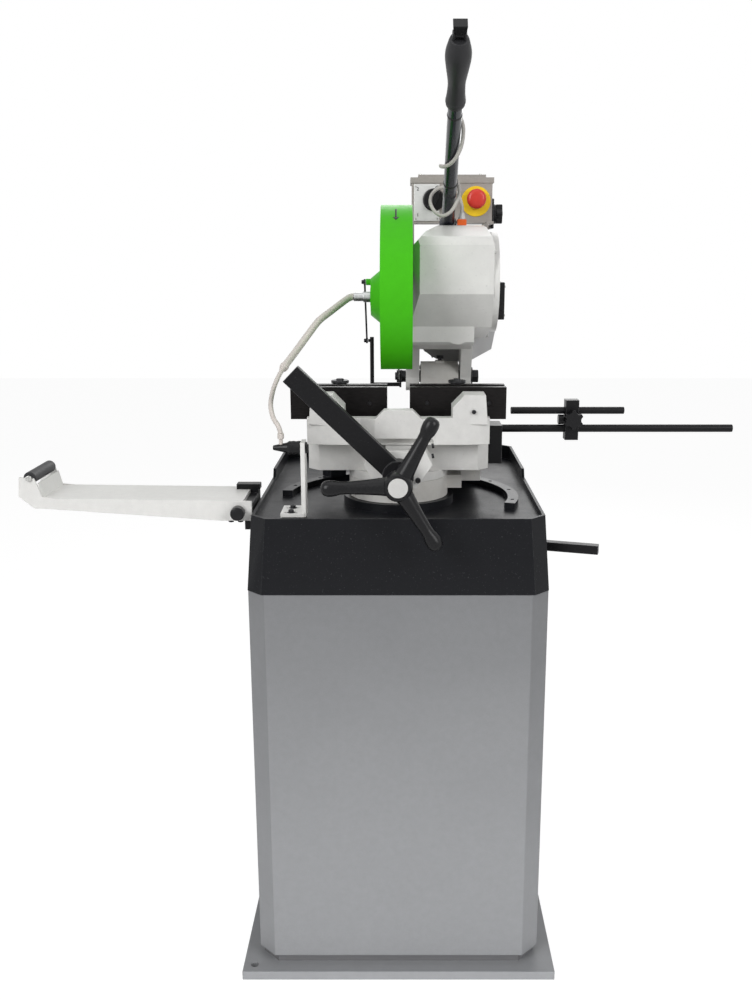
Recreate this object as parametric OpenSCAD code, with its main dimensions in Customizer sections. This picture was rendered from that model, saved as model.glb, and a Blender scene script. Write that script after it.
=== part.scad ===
// Manual metal cut-off saw on a pedestal cabinet, in millimetres.
// X runs to the right as the operator sees it, Y runs away from the operator, Z is up.
// The origin is on the floor, midway between the two floor bolts.

/* [Floor plate] */
// Width of the floor plate
plate_w = 560; // [540:5:640]
// Depth of the floor plate
plate_d = 660; // [640:5:740]
// Thickness of the floor plate
plate_t = 16.6; // [10:0.2:25]
// Radius of a floor bolt hole
floor_hole_r = 7; // [5:0.5:9]
// Distance from a plate edge to a floor bolt hole
floor_hole_in = 20; // [15:1:24]

/* [Cabinet] */
// Width of the cabinet
cab_w = 507; // [480:1:530]
// Depth of the cabinet
cab_d = 612; // [580:1:630]
// Height of the cabinet top above the floor
cab_top = 717.6; // [600:0.2:800]
// Width of the bevel down each cabinet corner
cab_bevel = 30; // [15:1:45]
// Thickness of the cabinet sheet
cab_wall = 3; // [2:0.5:5]
// Height of the recessed strip under the cabinet
plinth_h = 15; // [8:1:25]
// Depth of that recess
plinth_in = 6; // [3:1:12]
// Width of the door in the back
door_w = 360; // [260:5:400]
// Height of the door in the back
door_h = 500; // [300:5:560]
// Height of the door's lower edge above the floor
door_z = 110; // [90:5:140]

/* [Chip tray] */
// Height of the tray's front rim above the cabinet
tray_h = 128.4; // [110:0.2:150]
// How much higher the rear rim stands
tray_step = 17; // [8:1:30]
// How far each side leans in from bottom to front rim
tray_lean = 9; // [4:1:15]
// Thickness of the tray wall
tray_wall = 5; // [4:0.5:7]
// Thickness of the tray floor
tray_floor_t = 8; // [6:0.5:12]
// Depth of the tray floor below the front rim
tray_depth = 11; // [6:1:14]
// Place of the step in the side rim, from the middle
tray_step_y = 30; // [10:1:60]

/* [Swivel] */
// Distance of the swivel axis in front of the middle
swivel_front = 119; // [110:1:125]
// Radius of the pivot column
column_r = 45; // [38:0.5:48]
// Radius of the black ring under the swivel hub
ring_r = 98; // [94:1:102]
// Height of the black ring
ring_h = 15; // [12:1:18]
// Radius of the swivel hub
hub_r = 88; // [84:0.5:90]
// Height of the swivel hub
hub_h = 35.7; // [32:0.1:37]
// Thickness of the swivel arm
arm_t = 23.4; // [18:0.2:24]
// Inner radius of the index arcs
arc_in_r = 196; // [186:1:200]
// Width of the index arcs
arc_w = 19; // [14:1:20]
// Thickness of the index arcs
arc_t = 12; // [8:0.5:13]

/* [Vice] */
// Height of the work table above the tray floor
table_h = 150; // [149:0.5:152]
// Half length of the vice table
bed_half = 158; // [154:1:160]
// Distance from the swivel axis to each table edge
bed_reach = 46; // [44:1:46]
// Distance from the swivel axis to the front of the vice's nose
nose_reach = 129; // [126:1:130]
// Height of the screw axis above the tray floor
screw_h = 77; // [76:0.5:78]
// Radius of the screw
screw_r = 8; // [6:0.5:9]
// Height of a jaw
jaw_h = 56; // [40:1:57]
// Length of a jaw
jaw_l = 168; // [150:1:170]
// Thickness of a jaw
jaw_t = 17; // [12:0.5:18]
// Distance from the blade to the end of a jaw
jaw_in = 20; // [18:0.5:24]
// Distance from the swivel axis to a jaw face at rest
jaw_gap = 10; // [10:0.5:14]
// Half width of the slot that the blade passes
blade_slot = 10; // [8:0.5:12]
// Radius of the handwheel to its ball ends
wheel_r = 109; // [95:1:112]
// Radius of a handwheel ball
ball_r = 13; // [11:0.5:15]
// Length of the clamp lever
lever_l = 242; // [200:1:250]
// Width of the clamp lever
lever_w = 34; // [24:1:36]
// Depth of the clamp lever
lever_t = 20; // [14:1:20]
// Angle of the clamp lever at rest, from the right
lever_angle = 136; // [130:1:142]

/* [Head] */
// Diameter of the blade
blade_d = 315; // [300:1:316]
// Thickness of the blade
blade_t = 2.5; // [2:0.1:3]
// Height of the spindle above the pivot
spindle_up = 164; // [160:1:168]
// Distance of the spindle in front of the pivot
spindle_fwd = 140; // [136:1:144]
// Distance of the head pivot behind the swivel axis
pivot_back = 294; // [290:1:296]
// Height of the head pivot above the tray floor
pivot_h = 191; // [190:0.5:194]
// Radius of the head pivot pin
pin_r = 12; // [9:0.5:13]
// Outer radius of the moving guard
guard_r = 166; // [165:0.5:168]
// Thickness of the guard sheet
guard_t = 2; // [1.5:0.1:2.2]
// Length of the guard link
link_l = 153.9; // [150:0.1:156]
// Outer diameter of the handle tube
tube_d = 25; // [20:0.5:27]
// Length of the handle tube
tube_l = 451; // [400:1:455]
// Lean of the handle tube towards the operator
tube_lean = 53; // [45:1:55]
// Largest radius of the grip
grip_r = 21.5; // [19:0.5:22]
// Radius of the motor body
motor_r = 80; // [74:1:80]
// Length of the motor body
motor_l = 145; // [130:1:170]
// Distance from the spindle down to the motor axis
worm_drop = 60; // [59:0.5:62]
// Teeth on the worm wheel
wheel_teeth = 35; // [30:1:40]

/* [Control box] */
// Width of the control box
box_w = 164; // [150:1:170]
// Depth of the control box
box_d = 94; // [80:1:110]
// Height of the control box without its lid
box_h = 79; // [70:1:84]
// Height of the lid
lid_h = 17; // [12:1:20]

/* [Stops and support] */
// Diameter of the long stop rod
rod_d = 14; // [10:0.5:15]
// Length of the long stop rod
rod_l = 449; // [400:1:480]
// Diameter of the short stop rod
finger_d = 13; // [9:0.5:13.5]
// Length of the short stop rod
finger_l = 207; // [180:1:220]
// Width of the roller arm
roller_arm_w = 110; // [90:1:120]
// Radius of the support roller
roller_r = 10.5; // [8:0.5:12]
// Diameter of the coolant hose
hose_d = 13; // [10:0.5:14]
// Diameter of the control cable
cable_d = 6.6; // [6:0.2:9]

/* [Hidden] */
$fn = 48;

// Gap between pieces that move past each other
play = 0.3;
// Radial clearance of a running fit
fit = 0.05;
// Radial clearance of a pushed fit
seat = 0.02;
// How far a cut runs past a face
over = 1;

function bevel_rect(w, d, c) = [
  [-w / 2 + c, -d / 2], [w / 2 - c, -d / 2], [w / 2, -d / 2 + c], [w / 2, d / 2 - c],
  [w / 2 - c, d / 2], [-w / 2 + c, d / 2], [-w / 2, d / 2 - c], [-w / 2, -d / 2 + c]];

module box(x0, x1, y0, y1, z0, z1) {
  translate([x0, y0, z0]) cube([x1 - x0, y1 - y0, z1 - z0]);
}

module rod_x(r, x0, x1) {
  translate([x0, 0, 0]) rotate([0, 90, 0]) cylinder(r = r, h = x1 - x0);
}

module rod_y(r, y0, y1) {
  translate([0, y0, 0]) rotate([-90, 0, 0]) cylinder(r = r, h = y1 - y0);
}

module rod_z(r, z0, z1) {
  translate([0, 0, z0]) cylinder(r = r, h = z1 - z0);
}

// A side view outline in Y and Z, pushed out along X
module side_plate(x0, x1) {
  translate([x0, 0, 0]) rotate([90, 0, 90]) linear_extrude(x1 - x0) children();
}

// A front view outline in X and Z, pushed out along Y
module front_plate(y0, y1) {
  translate([0, y1, 0]) rotate([90, 0, 0]) linear_extrude(y1 - y0) children();
}

module both_sides() {
  children();
  mirror([1, 0, 0]) children();
}

// A pie slice between two angles, for cutting rings into arcs
module slice(r, a0, a1) {
  steps = 6;
  polygon(concat([[0, 0]],
    [for (i = [0 : steps]) let (a = a0 + (a1 - a0) * i / steps) r * [cos(a), sin(a)]]));
}

// Smooth curve through hand-chosen points, then a tube along it
function curve_point(p, i, t) = let (
    a = p[max(i - 1, 0)], b = p[i], c = p[i + 1], d = p[min(i + 2, len(p) - 1)])
  0.5 * (2 * b + (c - a) * t + (2 * a - 5 * b + 4 * c - d) * t * t
    + (3 * b - a - 3 * c + d) * t * t * t);
function curve(p, k) = concat(
  [for (i = [0 : len(p) - 2]) for (j = [0 : k - 1]) curve_point(p, i, j / k)],
  [p[len(p) - 1]]);
function unit(v) = v / norm(v);
function heading(p, i) = unit(p[min(i + 1, len(p) - 1)] - p[max(i - 1, 0)]);
function level(u, t) = unit(u - (u * t) * t);
function sides(p, start) = [
  for (i = 0, u = level(start, heading(p, 0)); i < len(p);
    i = i + 1, u = i < len(p) ? level(u, heading(p, i)) : u) u];
module tube(p, r, n, start) {
  us = sides(p, start);
  rings = [for (i = [0 : len(p) - 1]) let (t = heading(p, i), v = cross(t, us[i]),
      q = is_list(r) ? r[i] : r)
    for (j = [0 : n - 1]) p[i] + q * (cos(360 * j / n) * us[i] + sin(360 * j / n) * v)];
  last = len(p) - 1;
  sheet = [for (i = [0 : last - 1]) for (j = [0 : n - 1]) let (
    a = i * n + j, b = i * n + (j + 1) % n) each [[a, b, a + n], [b, b + n, a + n]]];
  near_cap = [for (j = [1 : n - 2]) [0, j + 1, j]];
  far_cap = [for (j = [1 : n - 2]) [last * n, last * n + j, last * n + j + 1]];
  polyhedron(points = rings,
    faces = [for (f = concat(sheet, near_cap, far_cap)) [f[2], f[1], f[0]]]);
}

// Heights and places worked out from the sizes above
tray_top = cab_top + tray_h;
floor_z = tray_top - tray_depth;
axis_y = -swivel_front;
hub_z = floor_z + ring_h + play;
hub_top = hub_z + hub_h;
arm_z = hub_top - arm_t;
column_top = hub_top + play;
table_z = floor_z + table_h;
bed_z = column_top + 13.7;
screw_z = floor_z + screw_h;
pivot_y = axis_y + pivot_back;
pivot_z = floor_z + pivot_h;
spindle_y = pivot_y - spindle_fwd;
spindle_z = pivot_z + spindle_up;
worm_x = 110;
worm_z = spindle_z - worm_drop;

color_grey = [0.52, 0.53, 0.54];
color_black = [0.09, 0.09, 0.1];
color_white = [0.86, 0.86, 0.83];
color_steel = [0.6, 0.61, 0.62];
color_green = [0.22, 0.68, 0.12];
color_box = [0.62, 0.61, 0.59];

// The floor plate with its two bolt holes
module base_plate() {
  hx = plate_w / 2 - floor_hole_in;
  hy = plate_d / 2 - floor_hole_in;
  color(color_grey) difference() {
    box(-plate_w / 2, plate_w / 2, -plate_d / 2, plate_d / 2, 0, plate_t);
    for (s = [-1, 1]) translate([s * hx, s * hy, 0]) rod_z(floor_hole_r, -over, plate_t + over);
  }
}

plinth_top = plate_t + plinth_h;
shelf_z = plinth_top + cab_wall;

// The folded sheet cabinet on its recessed plinth, with a doorway in the back
module cabinet() {
  color(color_grey) difference() {
    union() {
      translate([0, 0, plinth_top]) linear_extrude(cab_top - plinth_top)
        polygon(bevel_rect(cab_w, cab_d, cab_bevel));
      translate([0, 0, plate_t]) linear_extrude(plinth_h)
        polygon(bevel_rect(cab_w - 2 * plinth_in, cab_d - 2 * plinth_in, cab_bevel));
    }
    translate([0, 0, shelf_z]) linear_extrude(cab_top)
      polygon(bevel_rect(cab_w - 2 * cab_wall, cab_d - 2 * cab_wall, cab_bevel - cab_wall / 2));
    translate([0, 0, plate_t - over]) linear_extrude(plinth_h + over)
      polygon(bevel_rect(cab_w - 2 * plinth_in - 2 * cab_wall,
        cab_d - 2 * plinth_in - 2 * cab_wall, cab_bevel - cab_wall / 2));
    box(-door_w / 2, door_w / 2, cab_d / 2 - 2 * cab_wall, cab_d / 2 + over,
      door_z, door_z + door_h);
  }
}

door_lap = 12;
door_t = 2;
door_y = cab_d / 2 + play;
hinge_r = 5;
hinge_x = -door_w / 2 - door_lap - hinge_r;
hinge_l = 60;

// The door laps over the doorway from outside and turns on two hinge barrels
module cabinet_door() {
  back = door_y + door_t;
  color(color_grey) difference() {
    union() {
      box(-door_w / 2 - door_lap, door_w / 2 + door_lap, door_y, back,
        door_z - door_lap, door_z + door_h + door_lap);
      for (z = [door_z + 60, door_z + door_h - 60 - hinge_l]) {
        translate([hinge_x, door_y + hinge_r, 0]) rod_z(hinge_r, z, z + hinge_l);
        box(hinge_x, -door_w / 2, back - door_t, back, z, z + hinge_l);
      }
    }
    translate([latch_x, 0, latch_z]) rod_y(latch_r + fit, door_y - over, back + over);
    for (i = [0 : 5]) box(-70, 70, door_y - over, back + over,
      door_z + door_h - 60 - 18 * i, door_z + door_h - 54 - 18 * i);
  }
}

latch_r = 9;
latch_x = door_w / 2 - 22;
latch_z = door_z + door_h / 2;

// A quarter-turn latch: knob outside, shaft through the door, tongue inside
module door_handle() {
  back = door_y + door_t;
  color(color_black) translate([latch_x, 0, latch_z]) {
    rod_y(latch_r, door_y - 8, back + 4);
    rod_y(15, back + play, back + 6);
    box(-6, 6, back + 6 - over, back + 24, -22, 22);
    box(-7, 7, door_y - 8, door_y - 5, -30, 7);
  }
}

module frustum(w0, d0, w1, d1, c, z0, z1) {
  thin = 0.01;
  hull() {
    translate([0, 0, z0]) linear_extrude(thin) polygon(bevel_rect(w0, d0, c));
    translate([0, 0, z1 - thin]) linear_extrude(thin) polygon(bevel_rect(w1, d1, c));
  }
}

// Widths of the leaning tray at a height above the cabinet
function lean(h) = 2 * tray_lean * h / tray_h;
lock_angle = -17;
lock_len = 360;
lock_bar = 15.5;
lock_z = floor_z - 62;
lock_swing = 14;
lock_pad = asin((lock_bar / 2 + 2) / 200);

module lock_point(a) {
  translate([0, axis_y, lock_z]) rotate([0, 0, a]) children();
}

// The chip tray: leaning walls, a sunk floor, a stepped rim and a hollow underside
module tray() {
  full_h = tray_h + tray_step;
  c = cab_bevel - 4;
  w_in = cab_w - 2 * tray_wall;
  d_in = cab_d - 2 * tray_wall;
  color(color_black) difference() {
    translate([0, 0, cab_top])
      frustum(cab_w, cab_d, cab_w - lean(full_h), cab_d - lean(full_h), c, 0, full_h);
    translate([0, 0, cab_top])
      frustum(w_in - lean(tray_h - tray_depth) , d_in - lean(tray_h - tray_depth),
        w_in - lean(full_h + over), d_in - lean(full_h + over), c - 2,
        tray_h - tray_depth, full_h + over);
    translate([0, 0, cab_top])
      frustum(w_in, d_in, w_in - lean(tray_h - tray_depth - tray_floor_t),
        d_in - lean(tray_h - tray_depth - tray_floor_t), c - 2,
        -over, tray_h - tray_depth - tray_floor_t);
    box(-cab_w, cab_w, -cab_d, tray_step_y, tray_top, tray_top + cab_w);
    lock_point(0) rod_z(lock_stem_r + fit, 0, 2 * floor_z);
    lock_point(0) translate([0, 0, -lock_bar / 2 - 2]) linear_extrude(lock_bar + 4)
      polygon([for (k = [[200, 0], [cab_w, 0], [cab_w, 1], [200, 1]])
        let (a = lock_angle + k[1] * lock_swing + (2 * k[1] - 1) * lock_pad)
        k[0] * [cos(a), sin(a)]]);
  }
}

lock_stem_r = 11;

// The square bar that locks the swivel, on a threaded stem under the tray floor
module lock_lever() {
  color(color_black) lock_point(lock_angle) {
    box(0, lock_len, -lock_bar / 2, lock_bar / 2, -lock_bar / 2, lock_bar / 2);
    rod_z(22, -14, 14);
    rod_z(lock_stem_r, 14 - over, floor_z - lock_z + ring_h - 6);
  }
}

arc_top = floor_z + arc_t;

// The black ring, the two index arcs and the angle stop, on the tray floor
module swivel_track() {
  arc_out = arc_in_r + arc_w;
  color(color_black) translate([0, axis_y, 0]) {
    difference() {
      rod_z(ring_r, floor_z, floor_z + ring_h);
      rod_z(column_r + seat, floor_z - over, floor_z + ring_h + over);
    }
    for (a = [[-20, 72], [108, 172]]) difference() {
      intersection() {
        rod_z(arc_out, floor_z, arc_top);
        translate([0, 0, floor_z - over]) linear_extrude(arc_t + 2 * over)
          slice(2 * arc_out, a[0], a[1]);
      }
      rod_z(arc_in_r, floor_z - over, arc_top + over);
      for (k = [8, 30, 52]) rotate([0, 0, a[0] + k]) translate([arc_in_r + arc_w / 2, 0, 0])
        rod_z(3.5, arc_top - 6, arc_top + over);
    }
    rotate([0, 0, 128]) box(arc_in_r - 6, arc_in_r + arc_w + 4, -18, 18,
      arc_top, arm_z - 2 * play);
  }
}

// The steel column that the swivel hub turns on and the vice stands on
module pivot_column() {
  color(color_steel) translate([0, axis_y, 0]) difference() {
    rod_z(column_r, floor_z, column_top);
    rod_z(lock_stem_r + fit, floor_z - over, floor_z + ring_h - 5);
  }
}

// Coolant tank on the cabinet shelf, with its pump on the lid
tank_w = 300;
tank_d = 220;
tank_h = 190;
tank_wall = 3;
tank_y = -60;
module coolant_tank() {
  color(color_steel) translate([0, tank_y, shelf_z]) difference() {
    box(-tank_w / 2, tank_w / 2, -tank_d / 2, tank_d / 2, 0, tank_h);
    box(-tank_w / 2 + tank_wall, tank_w / 2 - tank_wall, -tank_d / 2 + tank_wall,
      tank_d / 2 - tank_wall, tank_wall, tank_h - tank_wall);
    translate([-70, 0, 0]) rod_z(38, tank_h - 2 * tank_wall, tank_h + over);
    translate([60, 0, 0]) rod_z(50, tank_h - 2 * tank_wall, tank_h + over);
  }
}

module coolant_pump() {
  color(color_black) translate([-70, tank_y, shelf_z + tank_h]) {
    rod_z(50, 0, 8);
    rod_z(36, 8 - over, 120);
    rod_z(30, -tank_h + 30, over);
    translate([0, 0, 30]) rod_y(11, -62, 0);
  }
}

nose_front = -nose_reach;
module at_axis() {
  translate([0, axis_y, 0]) children();
}

// The vice casting: a table split by the blade slot, a drum and a hollow nose
module vice_body() {
  nose_top = table_z - 37;
  color(color_white) at_axis() difference() {
    union() {
      box(-bed_half, bed_half, -bed_reach, bed_reach, bed_z, table_z);
      intersection() {
        rod_z(hub_r, column_top, bed_z + over);
        box(-hub_r, hub_r, -hub_r, bed_reach, hub_top, table_z);
      }
      front_plate(nose_front, -bed_reach + over) polygon([
        [-46, nose_top], [46, nose_top], [57, nose_top - 22], [30, column_top],
        [-36, column_top], [-57, nose_top - 22]]);
    }
    box(-blade_slot, blade_slot, -60, bed_reach + over, bed_z + 22, table_z + over);
    translate([0, 0, bed_z + 22]) linear_extrude(table_h) polygon([
      [-blade_slot, -over], [blade_slot, -over], [blade_slot, over],
      [-bed_reach, bed_reach + blade_slot], [-bed_reach - 16, bed_reach + over]]);
    box(-24, 24, nose_front + 15, -bed_reach + over, screw_z - 15, nose_top + over);
    translate([0, 0, screw_z]) rod_y(screw_r + fit, nose_front - over, bed_reach + over);
    for (x = [-bed_half, bed_half]) translate([x, -bed_reach, 0])
      rotate([0, 0, 45]) box(-14, 14, -14, 14, bed_z - over, table_z + over);
  }
}

jaw_face = jaw_gap;
carrier_front = -93;
carrier_back = -57;
arm_top = table_z + 12;

// The front slide: a wide arm with two uprights and a nut on the screw
module front_carrier() {
  nut_y = -77;
  color(color_white) at_axis() difference() {
    union() {
      translate([0, 0, table_z - 34]) linear_extrude(46) polygon([
        [-64, carrier_front + 12], [-40, carrier_front], [40, carrier_front],
        [64, carrier_front + 12], [122, carrier_front + 12], [156, carrier_front + 20],
        [156, carrier_back], [-156, carrier_back], [-156, carrier_front + 20],
        [-122, carrier_front + 12]]);
      front_plate(carrier_front, -67) polygon([[-40, arm_top - over], [-24, arm_top + 15],
        [24, arm_top + 15], [40, arm_top - over]]);
      both_sides() front_plate(-81, -jaw_face - jaw_t) polygon([
        [92, table_z + 1], [152, table_z + 1], [148, table_z + 51], [112, table_z + 51],
        [92, table_z + 30]]);
      box(-22, 22, nut_y, nut_y + 16, screw_z - 13, table_z - 33);
    }
    translate([0, 0, screw_z]) rod_y(screw_r + fit, nut_y - over, nut_y + 18);
    translate([0, carrier_front, table_z - 34]) rotate([45, 0, 0])
      box(-60, 60, -14, 14, -9, 9);
  }
}

// One pair of black jaws, left and right of the blade
module jaw_pair(y0, y1) {
  z = table_z + 2;
  both_sides() difference() {
    box(jaw_in, jaw_in + jaw_l, y0, y1, z, z + jaw_h);
    for (x = [jaw_in + 30, jaw_in + 138]) translate([x, 0, z + jaw_h / 2])
      rod_y(4, y0 - over, y1 + over);
  }
}

module front_jaws() {
  color(color_black) at_axis() jaw_pair(-jaw_face - jaw_t, -jaw_face);
}

module rear_jaws() {
  color(color_black) at_axis() jaw_pair(jaw_face, jaw_face + jaw_t);
}

// The rear slide: a low bar under the blade with two legs that carry the jaws
module rear_carrier() {
  y0 = jaw_face + jaw_t;
  bar = bed_reach + 14;
  color(color_white) at_axis() difference() {
    union() {
      box(-150, 150, bar, bar + 26, hub_top + 4, bed_z + 20);
      both_sides() {
        box(96, 150, bar, bar + 26, hub_top + 4, table_z + 25);
        box(96, 150, y0, bar + over, table_z + 1, table_z + 25);
        box(96, 150, y0, y0 + 20, table_z + 24, table_z + 51);
      }
    }
    translate([0, 0, screw_z]) rod_y(screw_r + fit, bar - over, bar + 27);
  }
}

// Black clamp knobs on the rear uprights
module jaw_knobs() {
  y = jaw_face + jaw_t + 10;
  top = table_z + 2 + jaw_h;
  color(color_black) at_axis() both_sides() translate([105, y, 0]) {
    rod_z(5, table_z + 51, top + 2);
    rod_z(16, top + play, top + 5);
    rod_z(7, top + 4, top + 8);
  }
}

boss_back = nose_front - 2;
boss_front = boss_back - 30;
hub_back = boss_front - 50;
hub_front = hub_back - 34;

// The screw that draws both jaw slides, with a collar behind the handwheel
module vice_screw() {
  color(color_steel) translate([0, axis_y, screw_z]) {
    rod_y(screw_r, hub_front + 6, 118);
    rod_y(12, boss_front - 14, boss_front - 2);
  }
}

// The three-spoke handwheel with ball ends and a pale cap
module handwheel() {
  mid = (hub_front + hub_back) / 2;
  color(color_black) translate([0, axis_y, screw_z]) difference() {
    union() {
      rod_y(23.5, hub_front, hub_back);
      for (a = [62, 182, 302]) rotate([0, -a, 0]) {
        translate([0, mid, 0]) rotate([0, 90, 0]) cylinder(r1 = 12, r2 = 9, h = wheel_r);
        translate([wheel_r, mid, 0]) sphere(ball_r);
      }
    }
    rod_y(screw_r + seat, hub_front + 6, hub_back + over);
  }
  color(color_white) translate([0, axis_y, screw_z]) rod_y(15.7, hub_front - 2, hub_front);
}

// The quick clamp lever: a flat bar on a round boss behind the handwheel
module clamp_lever() {
  y = (boss_front + boss_back) / 2;
  color(color_black) translate([0, axis_y, screw_z]) difference() {
    union() {
      rod_y(26, boss_front, boss_back);
      rotate([0, -lever_angle, 0])
        box(0, lever_l, y - lever_t / 2, y + lever_t / 2, -lever_w / 2, lever_w / 2);
    }
    rod_y(screw_r + fit, boss_front - over, boss_back + over);
  }
}

rod_y0 = 59;
rod_z0 = table_z - 28;
bracket_x = 163;
module at_rod() {
  translate([0, axis_y + rod_y0, rod_z0]) children();
}

// The bracket on the vice's right end that holds the long stop rod
module stop_bracket() {
  color(color_black) at_rod() difference() {
    box(bed_half, bracket_x + 23, bed_reach - 32 - rod_y0, 12, bed_z - rod_z0, 12);
    rod_x(rod_d / 2 + seat, bracket_x, bracket_x + 24);
  }
}

module stop_rod() {
  color(color_black) at_rod() rod_x(rod_d / 2, bracket_x, bracket_x + rod_l);
}

block_x = 304;
block_w = 24;
finger_up = 33;
knob_up = finger_up / 2 + 3;

// The block that slides on the long rod and carries the short one
module stop_block() {
  color(color_black) at_rod() difference() {
    box(block_x, block_x + block_w, -12, 12, -20, finger_up + 20);
    rod_x(rod_d / 2 + fit, block_x - over, block_x + block_w + over);
    translate([0, 0, finger_up]) rod_x(finger_d / 2 + fit, block_x - over,
      block_x + block_w + over);
    translate([block_x + block_w / 2, 0, knob_up]) rod_y(4 + fit, -13, -6);
    translate([0, 0, finger_up / 2]) rod_x(4 + fit, block_x - over, block_x + 6);
  }
}

module stop_finger() {
  color(color_black) at_rod() translate([0, 0, finger_up])
    rod_x(finger_d / 2, 205, 205 + finger_l);
}

// A lobed hand knob along Y with a short stem
module star_knob(r, y0, y1) {
  difference() {
    rod_y(r, y0, y1);
    for (a = [0 : 60 : 300]) rotate([0, a, 0]) translate([r + 3, 0, 0])
      rod_y(r * 0.42, y0 - over, y1 + over);
  }
  rod_y(r * 0.5, y1 - over, -12 - play);
  rod_y(4, -14, -7);
}

module stop_knob() {
  color(color_black) at_rod() translate([block_x + block_w / 2, 0, knob_up]) star_knob(17.5, -34, -18);
}

module stop_side_knob() {
  color(color_black) at_rod() translate([block_x + 12, 0, finger_up / 2])
    rotate([0, 0, -90]) star_knob(9, -24, -14);
}

tap_y = -cab_d / 2 + 38;
tap_x = -155;
tap_z = table_z - 26;

// The angle bracket on the tray that holds the coolant tap
module tap_bracket() {
  color(color_white) difference() {
    union() {
      box(tap_x - 4, tap_x + 3, tap_y - 17, tap_y + 17, floor_z + 11, tap_z + 11);
      box(tap_x - 39, tap_x, tap_y - 19, tap_y + 40, floor_z + 11, floor_z + 17);
    }
    translate([0, tap_y, tap_z]) rod_x(7, tap_x - 5, tap_x + 4);
    for (y = [-10, 22]) hull() for (x = [-30, -14]) translate([tap_x + x, tap_y + y, 0])
      rod_z(3.2, floor_z + 10, floor_z + 18);
  }
  color(color_black) box(tap_x - 37, tap_x - 1, tap_y - 17, tap_y + 38, floor_z, floor_z + 11);
}

// The tap that the coolant hose drops into, with its cone and pipe nipple
module coolant_tap() {
  color(color_black) translate([0, tap_y, tap_z]) {
    rod_x(7 - seat, tap_x - 5, tap_x + 6);
    rod_x(11, tap_x - 26, tap_x - 4);
    translate([tap_x - 50, 0, 0]) rotate([0, 90, 0]) cylinder(r1 = 4, r2 = 9, h = 25);
  }
  color(color_steel) translate([hose_end[0], hose_end[1], 0]) {
    rod_z(3.5, tap_z + 3, hose_end[2] - 5);
    rod_z(thin_r + 1.5, hose_end[2] - 9, hose_end[2]);
  }
}

hose_end = [-192, tap_y, tap_z + 24];
thin_r = 4;
hose_start = [-84, 35, 1190];
hose_route = [[-87, 35, 1190], [-95, 31, 1187], [-108, 19, 1178], [-126, 1, 1164.5],
  [-146, -19, 1149], [-163, -44, 1127], [-178, -74, 1106], [-190, -108, 1089],
  [-199, -142, 1076], [-205, -176, 1063], [-210, -208, 1045], [-211, -236, 1025],
  [-205, -256, 1007], hose_end + [-4, 2, 12], hose_end + [0, 0, 4]];

// The coolant hose at rest, thick from the guard's hub and thin from its joint to the tap
module coolant_hose() {
  route = concat([hose_start], curve(hose_route, 2), [hose_end]);
  color([0.83, 0.8, 0.77]) tube(route,
    [for (i = [0 : len(route) - 1]) i < 17 ? hose_d / 2 : thin_r], 10, [0, 0, 1]);
}

arm_y = -cab_d / 2 + 121;
arm_left = -600;
arm_right = -262;
arm_z1 = floor_z + 28;

// The black block that holds the roller arm against the tray
module arm_mount() {
  color(color_black) {
    box(arm_right + play, -cab_w / 2 + 6, arm_y - 45, arm_y + 45, floor_z - 25, floor_z + 22);
    box(arm_right + play, -cab_w / 2 + 6, arm_y + 30, arm_y + 50, floor_z - 24, arm_z1 + 10);
    box(arm_right - 24, -cab_w / 2 + 9, arm_y + 30, arm_y + 50, arm_z1 + play, arm_z1 + 10);
  }
}

// The folded sheet arm, open below, with two lugs for the roller
module roller_arm() {
  t = 3;
  y0 = arm_y - roller_arm_w / 2;
  y1 = arm_y + roller_arm_w / 2;
  color(color_white) difference() {
    union() {
      front_plate(y0, y1) polygon([[arm_left, floor_z + 14], [arm_left, arm_z1 + 4],
        [arm_right, arm_z1], [arm_right, floor_z - 7], [arm_right - 38, floor_z - 7]]);
      for (y = [y0, y1 - t]) front_plate(y, y + t) {
        polygon([[arm_left - 40, floor_z + 35], [arm_left - 14, floor_z + 14],
          [arm_left + 20, floor_z + 14], [arm_left + 20, arm_z1 + 4], [arm_left, arm_z1 + 6],
          [arm_left - 12, roller_z], [arm_left - 37, roller_z + 2], [arm_left - 40, floor_z + 35]]);
        polygon([[arm_right - 30, arm_z1], [-cab_w / 2 + 6, arm_z1 - 1],
          [-cab_w / 2 + 6, floor_z - 7], [arm_right - 30, floor_z - 7]]);
      }
    }
    front_plate(y0 + t, y1 - t) polygon([[arm_left - over, floor_z - 20],
      [arm_left - over, arm_z1 + 4 - t], [arm_right - t, arm_z1 - t], [arm_right - t, floor_z - 20]]);
    translate([arm_left - 20, 0, roller_z]) rod_y(4.02, y0 - over, y1 + over);
    translate([arm_right - 8, 0, floor_z + 9]) rod_y(5.1, y0 - over, y0 + t + over);
  }
  color(color_steel) translate([arm_left - 20, 0, roller_z]) rod_y(4, y0, y1);
}

roller_z = floor_z + 66;

module roller() {
  half = roller_arm_w / 2 - 3 - play;
  color(color_black) translate([arm_left - 20, 0, roller_z]) difference() {
    rod_y(roller_r, arm_y - half, arm_y + half);
    rod_y(4 + fit, arm_y - half - over, arm_y + half + over);
  }
}

module arm_knob() {
  y0 = arm_y - roller_arm_w / 2;
  color(color_black) translate([arm_right - 8, 0, floor_z + 9]) {
    rod_y(12, y0 - 20, y0 - play);
    rod_y(5, y0 - play - over, y0 + 22);
  }
}

// Screws that hold the tap bracket
module frame_screws() {
  color(color_black) {
    for (p = [[-22, -10], [-22, 22]]) translate([tap_x + p[0], tap_y + p[1], 0])
      rod_z(5, floor_z + 17, floor_z + 22);
  }
}

module at_pivot() {
  translate([0, pivot_y, pivot_z]) children();
}
module at_spindle() {
  translate([0, spindle_y, spindle_z]) children();
}
module at_worm() {
  translate([worm_x, 0, worm_z]) children();
}

knuckle_r = 30;
knuckle_x = [44, 120];

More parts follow.
